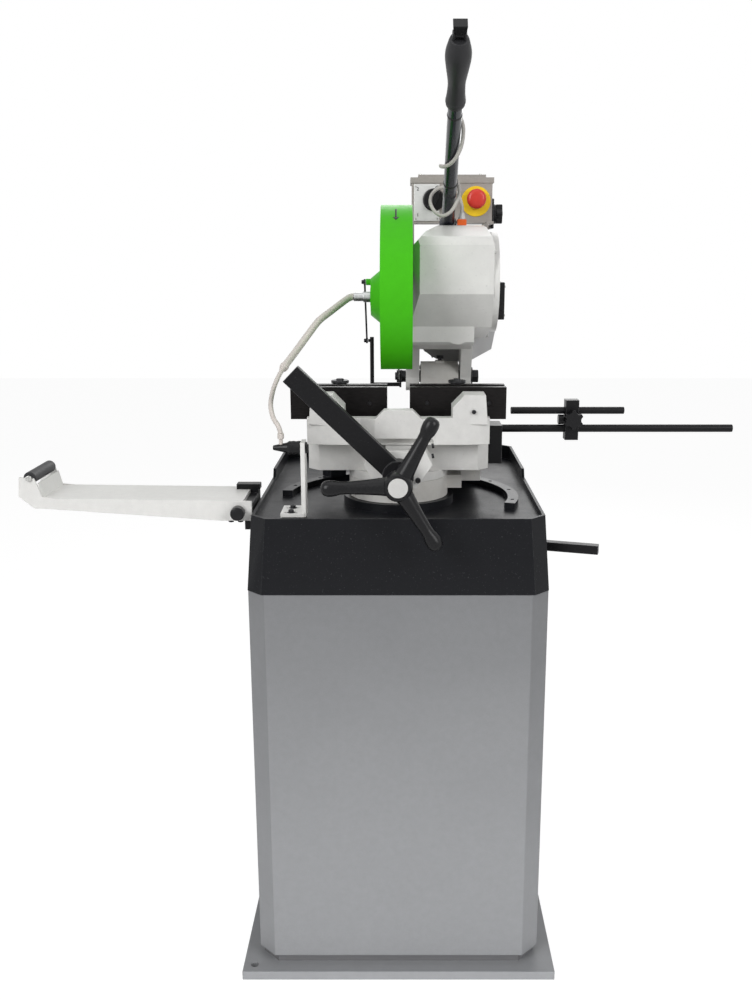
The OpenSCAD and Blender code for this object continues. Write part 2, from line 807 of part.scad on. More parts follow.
// The arm that swivels on the column and carries the head's pivot
module swivel_arm() {
  post_front = pivot_y - 75;
  color(color_white) difference() {
    union() {
      at_axis() {
        rod_z(hub_r, hub_z, hub_top);
        box(74, 112, -20, 30, arm_z, hub_top);
      }
      box(5, 150, axis_y + 40, pivot_y + 25, arm_z, hub_top);
      box(60, 150, pivot_y + 24, pivot_y + 70, arm_z, hub_top);
      side_plate(knuckle_x[0], knuckle_x[1]) polygon([[post_front, hub_top - over],
        [pivot_y + 40, hub_top - over], [pivot_y + 29, pivot_z], [pivot_y - 29, pivot_z]]);
      at_pivot() rod_x(knuckle_r, knuckle_x[0], knuckle_x[1]);
      box(74, 92, pivot_y - 12, pivot_y + 12, pivot_z + 20, pivot_z + 32);
    }
    at_axis() rod_z(column_r + fit, hub_z - over, hub_top + over);
    at_pivot() rod_x(pin_r + seat, knuckle_x[0] - over, knuckle_x[1] + over);
    translate([83, pivot_y, 0]) rod_z(4, pivot_z + 22, pivot_z + 33);
  }
}

// The head's pivot pin with its nuts, and the stop bolt on the knuckle
module pivot_pin() {
  color(color_black) {
    at_pivot() {
      rod_x(pin_r, 7.4, 156);
      rod_x(8, 0, 8);
      difference() {
        rod_x(11, -8, 0.1);
        rod_x(3, -9, -5);
      }
      rod_x(17, 149, 153);
      rod_x(11, 152, 162);
    }
    translate([83, pivot_y, 0]) {
      rod_z(4 - seat, pivot_z + 24, pivot_z + 37);
      rod_z(8, pivot_z + 36, pivot_z + 42);
    }
  }
}

link_y = pivot_y - 25;
link_z = pivot_z + 74;
link_x = -64;

// The cranked rod that holds the lower end of the guard link
module guard_rod() {
  r = 4;
  x = link_x + 10;
  color(color_black) {
    translate([x, link_y, 0]) rod_z(r, pivot_z - 14, link_z + 7);
    translate([x, link_y, pivot_z - 14]) sphere(r);
    translate([0, link_y, pivot_z - 14]) rod_x(r, x, 4);
    difference() {
      hull() {
        at_pivot() rod_x(13, 1, 5);
        translate([0, link_y, pivot_z - 14]) rod_x(6, 1, 5);
      }
      at_pivot() rod_x(8 + seat, 0, 6);
    }
    translate([0, link_y, link_z]) rod_x(3, link_x + 2.5, x);
  }
}

coils = 13;
spring_r = 13;
spring_wire = 1.8;
spring_y = pivot_y + 53;
spring_x = 83;
spring_base = hub_top;
spring_top = pivot_z + 10;

// The return spring between the swivel arm and the tail of the head
module head_spring() {
  h0 = spring_base + spring_wire + play;
  h1 = spring_top - spring_wire - play;
  coil = [for (i = [0 : 8 * coils]) let (a = 45 * i)
    [spring_r * cos(a), spring_r * sin(a), h0 + (h1 - h0) * i / (8 * coils)]];
  rise = (h1 - h0) / coils;
  echo(least_gap = rise - 2 * spring_wire);
  color(color_steel) translate([spring_x, spring_y, 0]) tube(coil, spring_wire, 6, [0, 0, 1]);
}

case_left = 30;
case_right = 163;
cover_right = 184;
case_top = spindle_z + 132;
wheel_x = [96, 124];
left_bearing_r = 34;
bore_r = 18;
wheel_r_out = worm_drop - 16.5;

module case_outline() {
  s = spindle_y;
  z = spindle_z;
  polygon([[s - 60, z + 7], [s - 60, z + 94], [s - 50, z + 109], [s + 22, z + 127],
    [s + 84, case_top], [s + 132, case_top], [s + 163, case_top - 12], [s + 170, case_top - 38],
    [s + 170, z - 80], [s + 115, z - 85], [s - 25, z - 55]]);
}

// The gear case: a hollow casting with a neck and two legs at the pivot
module gear_case() {
  s = spindle_y;
  z = spindle_z;
  color(color_white) difference() {
    union() {
      intersection() {
        side_plate(case_left - 4, case_right) case_outline();
        front_plate(s - 80, s + 200) polygon([[case_left - 4, z - 100],
          [case_left - 4, z + 93], [case_left + 20, z + 119], [case_left + 48, case_top + over],
          [case_right + 20, case_top + over], [case_right + 20, z - 100]]);
        translate([0, 0, z - 100]) linear_extrude(300) polygon([[case_left - 4, s - 36],
          [case_left + 9, s - 61], [case_right + over, s - 61], [case_right + over, s + 200],
          [case_left - 4, s + 200]]);
      }
      side_plate(case_left - 4, 141) polygon([[s - 26, z - 52], [pivot_y + 30, z - 40],
        [pivot_y + 30, pivot_z + 59], [pivot_y - 55, pivot_z + 59], [s + 40, z - 93],
        [s - 20, z - 88], [s - 26, z - 82]]);
      for (x = [[14, 41], [123, 145]]) {
        side_plate(x[0], x[1]) polygon([[pivot_y - 70, pivot_z + 80],
          [pivot_y + 30, pivot_z + 80], [pivot_y + 29, pivot_z], [pivot_y - 29, pivot_z]]);
        at_pivot() rod_x(29, x[0], x[1]);
      }
      box(14, 145, pivot_y + 31, pivot_y + 70, spring_top, spring_top + 6);
      for (x = [[14, 41], [123, 145]])
        box(x[0], x[1], pivot_y + 20, pivot_y + 32, spring_top, spring_top + 6);
      at_worm() rod_y(bore_r + 8, s - 26, s + 169);
    }
    at_spindle() {
      rod_x(wheel_r_out + 1.5, 58, case_right + over);
      rod_x(left_bearing_r + seat, case_left + 4, 59);
      rod_x(24, 0, case_left + 5);
    }
    at_worm() rod_y(bore_r, s - 22, s + 171);
    at_tube() rod_z(17 + seat, 10 - tube_root - seat, 60);
    at_pivot() rod_x(pin_r + fit, 13, 146);
  }
}

// The cover on the right of the gear case, with the right bearing's seat
module gear_cover() {
  color(color_white) difference() {
    union() {
      intersection() {
        side_plate(case_right, case_right + 10) case_outline();
        front_plate(spindle_y - 80, spindle_y + 200) polygon([[case_right - over, spindle_z - 100],
          [case_right - over, case_top + over], [case_right, case_top - 2],
          [case_right + 10, case_top - 38], [case_right + 10, spindle_z - 100]]);
      }
      at_spindle() translate([0, 34, 26]) rod_x(92, case_right + 9, cover_right);
    }
    at_spindle() rod_x(left_bearing_r + seat, case_right - over, case_right + 14);
  }
}

// Ball bearings of the spindle and of the worm, as plain rings
module ring_x(r0, r1, x0, x1) {
  difference() {
    rod_x(r1, x0, x1);
    rod_x(r0, x0 - over, x1 + over);
  }
}
module ring_y(r0, r1, y0, y1) {
  difference() {
    rod_y(r1, y0, y1);
    rod_y(r0, y0 - over, y1 + over);
  }
}
spindle_r = 17;
shaft_r = 9;
module bearings() {
  color(color_steel) {
    at_spindle() {
      ring_x(spindle_r + fit, left_bearing_r, case_left + 4 + seat, case_left + 24);
      ring_x(spindle_r + fit, left_bearing_r, case_right - 2, case_right + 14 - seat);
    }
    at_worm() {
      ring_y(shaft_r + fit, bore_r - seat, spindle_y + 40, spindle_y + 52);
      ring_y(shaft_r + fit, bore_r - seat, spindle_y + 140, spindle_y + 154);
    }
  }
}

// The spindle with its flanges and the blade bolt
module spindle() {
  b = blade_t / 2;
  color(color_steel) at_spindle() {
    rod_x(spindle_r, b + 8, case_right + 12);
    rod_x(45, b, b + 9);
    difference() {
      rod_x(42, -b - 8, -b);
      rod_x(16, -b - 9, -b - 6);
    }
    rod_x(20 - seat, -b - over, b + over);
    rod_x(13, -b - 14, -b - 5);
  }
}

// The saw blade, with its teeth cut round the rim
module blade() {
  n = 72;
  r = blade_d / 2;
  color(color_steel) at_spindle() translate([-blade_t / 2, 0, 0]) rotate([90, 0, 90])
    linear_extrude(blade_t) difference() {
      polygon([for (i = [0 : n - 1]) each [
        r * [cos(360 * i / n), sin(360 * i / n)],
        (r - 5) * [cos(360 * (i + 0.25) / n), sin(360 * (i + 0.25) / n)]]]);
      circle(20);
    }
}

// The bronze worm wheel on the spindle
module worm_wheel() {
  r = wheel_r_out;
  color([0.72, 0.53, 0.25]) at_spindle() difference() {
    rod_x(r, wheel_x[0], wheel_x[1]);
    rod_x(spindle_r + seat, wheel_x[0] - over, wheel_x[1] + over);
    for (i = [0 : wheel_teeth - 1]) rotate([360 * i / wheel_teeth, 0, 0])
      box(wheel_x[0] - over, wheel_x[1] + over, -1.6, 1.6, r - 5, r + over);
  }
}

motor_y = spindle_y + 170;
rotor_y = [motor_y + 26, motor_y + 106];

// The motor: an eight-sided flange, a round body and the stator inside
module motor_housing() {
  w = 5;
  color([0.7, 0.7, 0.69]) at_worm() difference() {
    union() {
      front_plate(motor_y, motor_y + 14) polygon([[-74, -50], [-40, -56], [-8, -56], [2, -74], [40, -74],
        [80, -52], [90, 0], [82, 50], [40, 80], [-40, 80], [-80, 40]]);
      rod_y(motor_r, motor_y + 13, motor_y + motor_l);
      for (a = [0 : 30 : 330]) rotate([0, a, 0])
        box(-1.5, 1.5, motor_y + 24, motor_y + motor_l - 8, motor_r - 2, motor_r + 3);
    }
    rod_y(motor_r - w, motor_y + 14, motor_y + motor_l - w);
    rod_y(30, motor_y - over, motor_y + 15);
    rod_y(shaft_r + 1, motor_y, motor_y + motor_l + over);
  }
  color([0.6, 0.35, 0.15]) at_worm() ring_y(49, motor_r - w - seat, rotor_y[0], rotor_y[1]);
}

fan_y = motor_y + motor_l + 8;

// The worm shaft with the worm, the rotor core and the fan
module motor_shaft() {
  color(color_steel) at_worm() {
    rod_y(shaft_r, spindle_y - 20, fan_y + 14);
    for (i = [-2 : 3]) translate([0, spindle_y + 8 * i, 0]) rod_y(16, -2.5, 2.5);
    rod_y(13, spindle_y - 20, spindle_y + 30);
    ring_y(shaft_r + seat, 48, rotor_y[0], rotor_y[1]);
    ring_y(shaft_r + seat, 18, fan_y, fan_y + 12);
    for (a = [0 : 45 : 315]) rotate([0, a, 0]) box(-1, 1, fan_y, fan_y + 12, 17.5, motor_r - 12);
  }
}

// The fan cover with its air slots
module fan_cover() {
  y0 = motor_y + motor_l - 6;
  y1 = motor_y + motor_l + 32;
  color(color_black) at_worm() difference() {
    rod_y(motor_r + 5, y0, y1);
    rod_y(motor_r + seat, y0 - over, motor_y + motor_l);
    rod_y(motor_r - 4, y0, y1 - 2.5);
    for (a = [0 : 45 : 315]) rotate([0, a, 0]) box(-4, 4, y1 - 4, y1 + over, 22, motor_r - 18);
  }
}

// The black terminal box on the side of the motor
module terminal_box() {
  color(color_black) difference() {
    box(150, 218, motor_y + 26, motor_y + 116, worm_z + 6, worm_z + 82);
    at_worm() rod_y(motor_r + 3 + play, motor_y, motor_y + motor_l);
    box(154, 214, motor_y + 30, motor_y + 112, worm_z + 74, worm_z + 78);
  }
}

guard_left = -32;
guard_right = 25;
moving_arc = [96, 228];
fixed_arc = [-12, 160];
axle_r = 10;

// A drum section of sheet: a rim and one or two side plates, between two angles
module drum(r, x0, x1, arc, left_hole, right_hole) {
  difference() {
    rod_x(r, x0, x1);
    rod_x(r - guard_t, x0 + guard_t, x1 - guard_t);
    if (left_hole > 0) rod_x(left_hole, x0 - over, x0 + guard_t + over);
    rod_x(right_hole, x1 - guard_t - over, x1 + over);
    side_plate(x0 - over, x1 + over) slice(4 * r, arc[1], arc[0] + 360);
  }
}

// The fixed guard: the upper drum, its stand-off ring and the hub axle
module fixed_guard() {
  r = guard_r - guard_t - 1.5;
  x0 = guard_left + guard_t + 1;
  x1 = guard_right - guard_t - 1;
  color(color_green) at_spindle() difference() {
    union() {
      drum(r, x0, x1, fixed_arc, 0, 60);
      rod_x(62, x1 - guard_t, case_left - 4);
      rod_x(24, x0, x0 + guard_t);
    }
    rod_x(60, x1 - 2 * guard_t, case_left);
    rod_x(4, x0 - over, x0 + 10);
  }
  color(color_steel) at_spindle() difference() {
    rod_x(axle_r, guard_left - 34, x0);
    rod_x(3, guard_left - 35, x0 + over);
  }
  color(color_steel) translate([hose_start[0], spindle_y, spindle_z])
    rod_x(hose_d / 2 + 1.5, 0, guard_left - 34 - hose_start[0]);
}

// The moving guard: the front drum with a cone hub and the stud of its link
module moving_guard() {
  stud = [link_y - link_l * cos(49.5) - spindle_y, link_z + link_l * sin(49.5) - spindle_z];
  color(color_green) at_spindle() difference() {
    union() {
      drum(guard_r, guard_left, guard_right, moving_arc, 20, guard_r - 14);
      translate([guard_left - 20, 0, 0]) rotate([0, 90, 0]) cylinder(r1 = 34, r2 = 51, h = 20.5);
    }
    rod_x(axle_r + fit, guard_left - 21, guard_left + guard_t + over);
    translate([guard_left - 17, 0, 0]) rotate([0, 90, 0]) cylinder(r1 = 28, r2 = 46, h = 17);
    rod_x(44, guard_left - 2, guard_left + guard_t + over);
  }
  color(color_green) at_spindle() {
    ring_x(axle_r + fit, axle_r + 6, guard_left - 21, guard_left + 1);
    translate([0, stud[0], stud[1]]) rod_x(6, link_x + 2.5, guard_left - 12);
  }
}

// The thin link rod with an eye and nut at each end
module guard_link() {
  color(color_black) translate([0, link_y, link_z]) rotate([-49.5, 0, 0]) {
    translate([link_x, 0, 0]) rod_y(1.8, -link_l, 0);
    for (y = [0, -link_l]) translate([0, y, 0]) {
      rod_x(5.5, link_x - 2, link_x + 2);
      rod_x(3.5, link_x - 6, link_x - 1);
    }
  }
}

tube_x = 95.5;
tube_foot = [tube_x, spindle_y + 115, spindle_z + 132];
grip_l = 140;
tube_end = tube_l - 16;
tube_root = 14;
hinge_s = tube_l + 7.5;

// A point beside the handle tube: distance along it, angle round it, distance from it
function beside(s, a, r) = tube_foot + s * [0, -sin(tube_lean), cos(tube_lean)]
  + r * (cos(a) * [1, 0, 0] + sin(a) * [0, cos(tube_lean), sin(tube_lean)]);

module at_tube() {
  translate(tube_foot) rotate([tube_lean, 0, 0]) children();
}

module handle_tube() {
  color(color_black) at_tube() {
    difference() {
      rod_z(tube_d / 2, 12 - tube_root, tube_end);
      rod_z(tube_d / 2 - 2.5, 14 - tube_root, tube_end + over);
    }
    rod_z(17, 10 - tube_root, 26 - tube_root);
  }
}

// The hand grip: a pear outline turned round the tube
module handle_grip() {
  s0 = tube_l - grip_l;
  color(color_black) at_tube() difference() {
    union() {
      rotate_extrude() polygon([[0, s0], [13.5, s0], [16.5, s0 + 6], [16.8, s0 + 16],
      [15, s0 + 34], [14.6, s0 + 48], [16.5, s0 + 66], [19.5, s0 + 86], [grip_r, s0 + 104],
      [grip_r, s0 + 112], [18.5, s0 + 128], [16, s0 + 137], [14, tube_l], [0, tube_l]]);
      both_sides() box(7, 11.5, -6, 6, tube_l - over, hinge_s + 4.5);
    }
    rod_z(tube_d / 2 + seat, s0 - over, tube_end + seat);
    translate([0, 0, hinge_s]) rod_x(2.5 + fit, -13, 13);
  }
}

// The switch lever in the end of the grip
module trigger() {
  color(color_black) at_tube() {
    translate([0, 0, hinge_s]) rod_x(2.5, -11.5, 11.5);
    translate([0, 0, hinge_s]) rod_x(6.5, -6.7, 6.7);
    box(-6.7, 6.7, -6, 6, hinge_s, hinge_s + 8);
    front_plate(-10, 8) polygon([[-10, hinge_s + 7], [10, hinge_s + 7],
      [11.5, hinge_s + 22.5], [-11.5, hinge_s + 22.5]]);
  }
}

cable_route = [[310.5, 84, 16.3], [292, 80, 16.3], [276, 58, 16.5], [263, 26, 16.8],
  [248, -4, 17], [227, -36, 17.5], [207, -72, 18], [190, -108, 18], [176, -150, 19], [162, -195, 20], [146, -235, 20], [128, -280, 19],
  [110, -325, 18], [92, -355, 18]];
plug_at = [122, spindle_y + 102, case_top];
loop_route = [[108, 72, 1362], [97, 68, 1345], [82, 73, 1338], [68, 84, 1346], [60, 97, 1363],
  [64, 112, 1380], [78, 124, 1391], [98, 132, 1391], [114, 136, 1381]];

// The control cable: wound once round the handle tube, then a loose loop to its plug
module control_cable() {
  route = concat([for (p = cable_route) beside(p[0], p[1], p[2])], loop_route,
    [plug_at + [0, 0, 36], plug_at + [0, 0, 28]]);
  color([0.6, 0.6, 0.58]) tube(concat(curve(route, 3), [plug_at + [0, 0, 24.2]]),
    cable_d / 2, 8, [0, 0.6, 0.8]);
}

box_x = 26.5;
box_y = spindle_y + 221;
box_z = spindle_z + 140;

// The control box: a hollow casting with its lid and two brackets
module control_box() {
  w = 4;
  x1 = box_x + box_w;
  color(color_box) {
    difference() {
      box(box_x, x1, box_y, box_y + box_d, box_z, box_z + box_h);
      box(box_x + w, x1 - w, box_y + w, box_y + box_d - w, box_z + w, box_z + box_h + over);
      translate([0, 0, estop_at[1]]) translate([estop_at[0], 0, 0])
        rod_y(11.2, box_y - over, box_y + w + over);
      translate([dial_at[0], 0, dial_at[1]]) rod_y(5.2, box_y - over, box_y + w + over);
      translate([0, box_y + 50, switch_z]) rod_x(5.2, x1 - w - over, x1 + over);
    }
    difference() {
      union() {
        box(box_x - 3, x1 + 3, box_y - 2, box_y + box_d + 2, box_z + box_h, box_z + box_h + 11);
        box(box_x + 13, x1 - 13, box_y + 8, box_y + box_d - 8, box_z + box_h + 10,
          box_z + box_h + lid_h);
      }
      box(box_x + w, x1 - w, box_y + w, box_y + box_d - w, box_z + box_h - over,
        box_z + box_h + 7);
    }
    box(box_x, box_x + 4, spindle_y + 170, box_y + 50, box_z - 90, box_z + over);
    box(case_right + 10, x1 - 4, spindle_y + 130, box_y + 40, box_z - 4, box_z + over);
    box(case_right + 10, case_right + 13, spindle_y + 130, box_y + 40, box_z - 34, box_z - 3);
  }
}

dial_at = [71, box_z + 46];
estop_at = [157, box_z + 47];
disc_z = box_z + 43;
switch_z = box_z + 20;

// Face plates of the box: dial plate, yellow disc and switch plate
module box_plates() {
  t = 2;
  color([0.8, 0.8, 0.8]) difference() {
    box(box_x + 4, box_x + 56, box_y - t, box_y, box_z + 4, box_z + box_h - 2);
    translate([dial_at[0], 0, dial_at[1]]) rod_y(5.2, box_y - 3, box_y + over);
  }
  color([0.95, 0.78, 0.05]) difference() {
    translate([estop_at[0], 0, disc_z]) rod_y(30, box_y - t, box_y);
    translate([estop_at[0], 0, estop_at[1]]) rod_y(11.2, box_y - 3, box_y + over);
  }
  color(color_black) difference() {
    box(box_x + box_w, box_x + box_w + 6, box_y + 22, box_y + 78, box_z - 10, box_z + 50);
    translate([0, box_y + 50, switch_z]) rod_x(5.2, box_x + box_w - over,
      box_x + box_w + 7);
  }
}

// The mushroom stop button with its stem and retaining ring
module estop_button() {
  color([0.8, 0.1, 0.08]) translate([estop_at[0], 0, estop_at[1]]) {
    rod_y(19.5, box_y - 26, box_y - 12);
    rod_y(15, box_y - 29, box_y - 25);
    rod_y(11, box_y - 13, box_y + 14);
  }
}

module selector_knob() {
  y = box_y - 2 - play;
  color(color_black) translate([dial_at[0], 0, dial_at[1]]) {
    rod_y(22, y - 8, y);
    rotate([0, 24, 0]) box(-6, 6, y - 22, y - 7, -20, 20);
    rod_y(5, y - over, box_y + 16);
  }
}

module isolator_knob() {
  x = box_x + box_w + 6 + play;
  color(color_black) translate([0, box_y + 50, switch_z]) {
    rod_x(22, x, x + 6);
    box(x + 5, x + 22, -6, 6, -21, 21);
    rod_x(5, box_x + box_w - 14, x + over);
  }
}

// Oil plug, level glass, cable plug on the gear case and cable ties on the tube
module case_fittings() {
  color(color_black) at_spindle() translate([0, 34, 26]) {
    translate([0, 44, -46]) rod_x(8, cover_right, cover_right + 5);
  }
  color([0.8, 0.62, 0.25]) at_spindle() translate([0, 0, 20])
    rod_x(9, cover_right, cover_right + 4);
  color([0.9, 0.35, 0.1]) translate(plug_at) box(-9, 9, -9, 9, 0, 12);
  color([0.85, 0.85, 0.85]) translate(plug_at) rod_z(7, 11, 24);
}

base_plate();
cabinet();
cabinet_door();
door_handle();
tray();
swivel_track();
pivot_column();
vice_body();
stop_bracket();
stop_rod();
stop_block();
stop_finger();
stop_knob();
stop_side_knob();
tap_bracket();
coolant_tap();
coolant_hose();
coolant_tank();
coolant_pump();
arm_mount();
roller_arm();
roller();
arm_knob();
lock_lever();
frame_screws();
front_carrier();
front_jaws();
rear_carrier();
rear_jaws();
jaw_knobs();
vice_screw();
handwheel();
clamp_lever();
swivel_arm();
pivot_pin();
guard_rod();
head_spring();
gear_case();
gear_cover();
bearings();
spindle();
blade();
worm_wheel();
motor_housing();
motor_shaft();
fan_cover();
terminal_box();
fixed_guard();
moving_guard();
guard_link();
handle_tube();
handle_grip();
trigger();
control_box();
box_plates();
estop_button();
selector_knob();
isolator_knob();
case_fittings();
control_cable();
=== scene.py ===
import math

import bmesh
import bpy
from mathutils import Matrix, Vector


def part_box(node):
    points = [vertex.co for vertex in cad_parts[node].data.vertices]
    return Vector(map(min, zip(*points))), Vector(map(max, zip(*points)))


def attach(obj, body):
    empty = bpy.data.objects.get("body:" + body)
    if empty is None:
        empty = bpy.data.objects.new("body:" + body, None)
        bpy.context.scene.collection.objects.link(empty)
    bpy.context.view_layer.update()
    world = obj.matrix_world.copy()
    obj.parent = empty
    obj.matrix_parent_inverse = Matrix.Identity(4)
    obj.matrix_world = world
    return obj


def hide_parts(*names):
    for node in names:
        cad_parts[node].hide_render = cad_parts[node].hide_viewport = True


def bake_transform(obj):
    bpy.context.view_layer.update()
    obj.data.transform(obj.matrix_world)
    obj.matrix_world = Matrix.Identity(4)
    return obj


bl_info = {
    "name": "Metal cut-off saw",
    "version": (1, 0, 0),
    "blender": (4, 5, 0),
    "location": "3D View > Sidebar > Saw",
    "description": "Builds the pieces, finishes and studio of a pedestal metal cut-off saw",
    "category": "Object",
}

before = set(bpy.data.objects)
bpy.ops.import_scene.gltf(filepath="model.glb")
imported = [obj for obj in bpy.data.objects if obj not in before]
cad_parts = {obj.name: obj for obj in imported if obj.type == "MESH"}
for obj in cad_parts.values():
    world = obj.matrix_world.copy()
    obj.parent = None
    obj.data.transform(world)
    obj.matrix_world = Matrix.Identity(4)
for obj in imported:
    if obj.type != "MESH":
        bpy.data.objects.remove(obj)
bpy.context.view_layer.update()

MM = 0.001
LEFT, RIGHT, FRONT, BACK, DOWN, UP = (
    (-1, 0, 0), (1, 0, 0), (0, -1, 0), (0, 1, 0), (0, 0, -1), (0, 0, 1))

# Places that several pieces share, in millimetres: axes, front faces, the guard's link and rim
SPINDLE_Y, SPINDLE_Z = 35, 1190
PIVOT_Y, PIVOT_Z = 175, 1026
VICE_SCREW_Z = 912
BOX_FRONT = 256
COVER_FACE = 184
LINK_FOOT = Vector((-64, 150, 1100))
LINK_LENGTH, LINK_ANGLE = 153.9, math.radians(49.5)
RIM_RADIUS = 166.25


def mm(x, y, z):
    return Vector((x, y, z)) * MM


def corners(node):
    """Lowest and highest corner of a solid at rest, in millimetres"""
    low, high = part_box(node)
    return low / MM, high / MM


# Sizes and colours that a user may change

class SawSizes(bpy.types.PropertyGroup):
    """Sizes of the rounded edges, cords and small parts"""

    casting_edge: bpy.props.FloatProperty(
        name="Casting edge", description="Rounding of the cast parts' edges",
        default=0.0035, min=0.0005, max=0.008, unit="LENGTH")
    sheet_edge: bpy.props.FloatProperty(
        name="Sheet edge", description="Rounding of folded sheet edges",
        default=0.0016, min=0.0003, max=0.004, unit="LENGTH")
    fine_edge: bpy.props.FloatProperty(
        name="Fine edge", description="Rounding of machined and moulded edges",
        default=0.0007, min=0.0002, max=0.002, unit="LENGTH")
    hose_diameter: bpy.props.FloatProperty(
        name="Hose diameter", description="Outer diameter of the coolant hose",
        default=0.013, min=0.01, max=0.014, unit="LENGTH")
    thin_hose_diameter: bpy.props.FloatProperty(
        name="Thin hose diameter", description="Outer diameter of the hose below its joint",
        default=0.008, min=0.006, max=0.01, unit="LENGTH")
    cable_diameter: bpy.props.FloatProperty(
        name="Cable diameter", description="Outer diameter of the control cable",
        default=0.0066, min=0.006, max=0.009, unit="LENGTH")
    spring_wire: bpy.props.FloatProperty(
        name="Spring wire", description="Diameter of the return spring's wire",
        default=0.0036, min=0.002, max=0.005, unit="LENGTH")
    spring_turns: bpy.props.IntProperty(
        name="Spring turns", description="Turns of the return spring", default=13, min=6, max=20)
    digit_height: bpy.props.FloatProperty(
        name="Digit height", description="Height of the digits on the dial plate",
        default=0.009, min=0.004, max=0.01, unit="LENGTH")


def colour(name, description, value):
    return bpy.props.FloatVectorProperty(
        name=name, description=description, subtype="COLOR", size=3, min=0, max=1, default=value)


class SawColours(bpy.types.PropertyGroup):
    """Colours of the paints, plastics and metals"""

    cabinet: colour("Cabinet", "Satin grey of cabinet and floor plate", (0.205, 0.209, 0.217))
    # This colour is painted shade: the cabinet's bottom strip is darkened for the shadow under it
    plinth: colour("Plinth", "Dark strip under the cabinet", (0.10, 0.10, 0.105))
    tray: colour("Tray", "Black of the chip tray", (0.009, 0.0095, 0.0115))
    casting: colour("Castings", "Off-white of the cast parts", (0.74, 0.735, 0.715))
    guard: colour("Guard", "Green of the blade guard", (0.06, 0.49, 0.008))
    motor: colour("Motor", "Light grey of the motor", (0.52, 0.52, 0.525))
    box: colour("Control box", "Warm grey of the control box", (0.36, 0.335, 0.31))
    black: colour("Black", "Black of knobs and levers", (0.007, 0.007, 0.008))
    hose: colour("Hose", "Pale hose", (0.66, 0.61, 0.57))
    cable: colour("Cable", "Grey cable sheath", (0.50, 0.48, 0.45))
    red: colour("Red", "Red of the stop button", (0.64, 0.04, 0.027))
    yellow: colour("Yellow", "Yellow disc behind the stop button", (0.98, 0.66, 0.03))
    steel: colour("Steel", "Bare machined steel", (0.55, 0.555, 0.56))
    bronze: colour("Bronze", "Bronze of the worm wheel", (0.55, 0.34, 0.12))


# Finishes: effects shared by the materials

def put(tree, kind, inputs=None, **settings):
    """Adds a node, sets it up and joins its inputs"""
    made = tree.nodes.new(kind)
    for key, value in settings.items():
        setattr(made, key, value)
    for key, value in (inputs or {}).items():
        if isinstance(value, bpy.types.NodeSocket):
            tree.links.new(value, made.inputs[key])
        else:
            made.inputs[key].default_value = value
    return made


def math_node(tree, kind, a, b, clamp=False):
    return put(tree, "ShaderNodeMath", {0: a, 1: b}, operation=kind, use_clamp=clamp).outputs[0]


def noise(tree, spot, scale, detail, **more):
    return put(tree, "ShaderNodeTexNoise", {
        "Vector": spot, "Scale": scale, "Detail": detail, **more}).outputs[0]


def bumps(tree, height, strength, depth):
    return put(tree, "ShaderNodeBump", {
        "Height": height, "Strength": strength, "Distance": depth}).outputs[0]


def ramp(tree, value, low, high, out_low=0.0, out_high=1.0):
    return put(tree, "ShaderNodeMapRange", {
        "Value": value, "From Min": low, "From Max": high,
        "To Min": out_low, "To Max": out_high}).outputs["Result"]


FLOAT, VECTOR = "NodeSocketFloat", "NodeSocketVector"


def effect(name, inputs, outputs, build):
    """A shader group with named inputs and outputs, made once"""
    if name in bpy.data.node_groups:
        return bpy.data.node_groups[name]
    tree = bpy.data.node_groups.new(name, "ShaderNodeTree")
    for label, value in inputs:
        socket = tree.interface.new_socket(name=label, in_out="INPUT", socket_type=FLOAT)
        socket.default_value = value
    for label, kind in outputs:
        tree.interface.new_socket(name=label, in_out="OUTPUT", socket_type=kind)
    source = tree.nodes.new("NodeGroupInput")
    sink = tree.nodes.new("NodeGroupOutput")
    spot = tree.nodes.new("ShaderNodeTexCoord").outputs["Object"]
    for label, socket in build(tree, source.outputs, spot).items():
        tree.links.new(socket, sink.inputs[label])
    return tree


def build_peel(tree, given, spot):
    """Fine peel of sprayed paint, with broad clouds in its mask"""
    fine = noise(tree, spot, given["Scale"], 3.0, Roughness=0.55)
    coarse = noise(tree, spot, math_node(tree, "MULTIPLY", given["Scale"], 0.09), 5.0)
    both = math_node(tree, "ADD", fine, math_node(tree, "MULTIPLY", coarse, 0.6))
    return {"Mask": ramp(tree, both, 0.55, 1.05),
            "Normal": bumps(tree, fine, given["Strength"], given["Depth"])}


def paint_grain():
    return effect("Paint grain", [("Scale", 900.0), ("Strength", 0.3), ("Depth", 0.0002)],
                  [("Mask", FLOAT), ("Normal", VECTOR)], build_peel)


def build_cast(tree, given, spot):
    """Lumps and small pits of sand-cast iron under paint"""
    lumps = noise(tree, spot, given["Scale"], 6.0, Roughness=0.62)
    pits = put(tree, "ShaderNodeTexVoronoi", {
        "Vector": spot, "Scale": math_node(tree, "MULTIPLY", given["Scale"], 3.0)},
        feature="SMOOTH_F1").outputs["Distance"]
    height = math_node(tree, "ADD", lumps, math_node(tree, "MULTIPLY", pits, 0.25))
    return {"Mask": ramp(tree, lumps, 0.3, 0.72),
            "Normal": bumps(tree, height, given["Strength"], given["Depth"])}


def cast_surface():
    return effect("Cast surface", [("Scale", 70.0), ("Strength", 0.35), ("Depth", 0.0008)],
                  [("Mask", FLOAT), ("Normal", VECTOR)], build_cast)


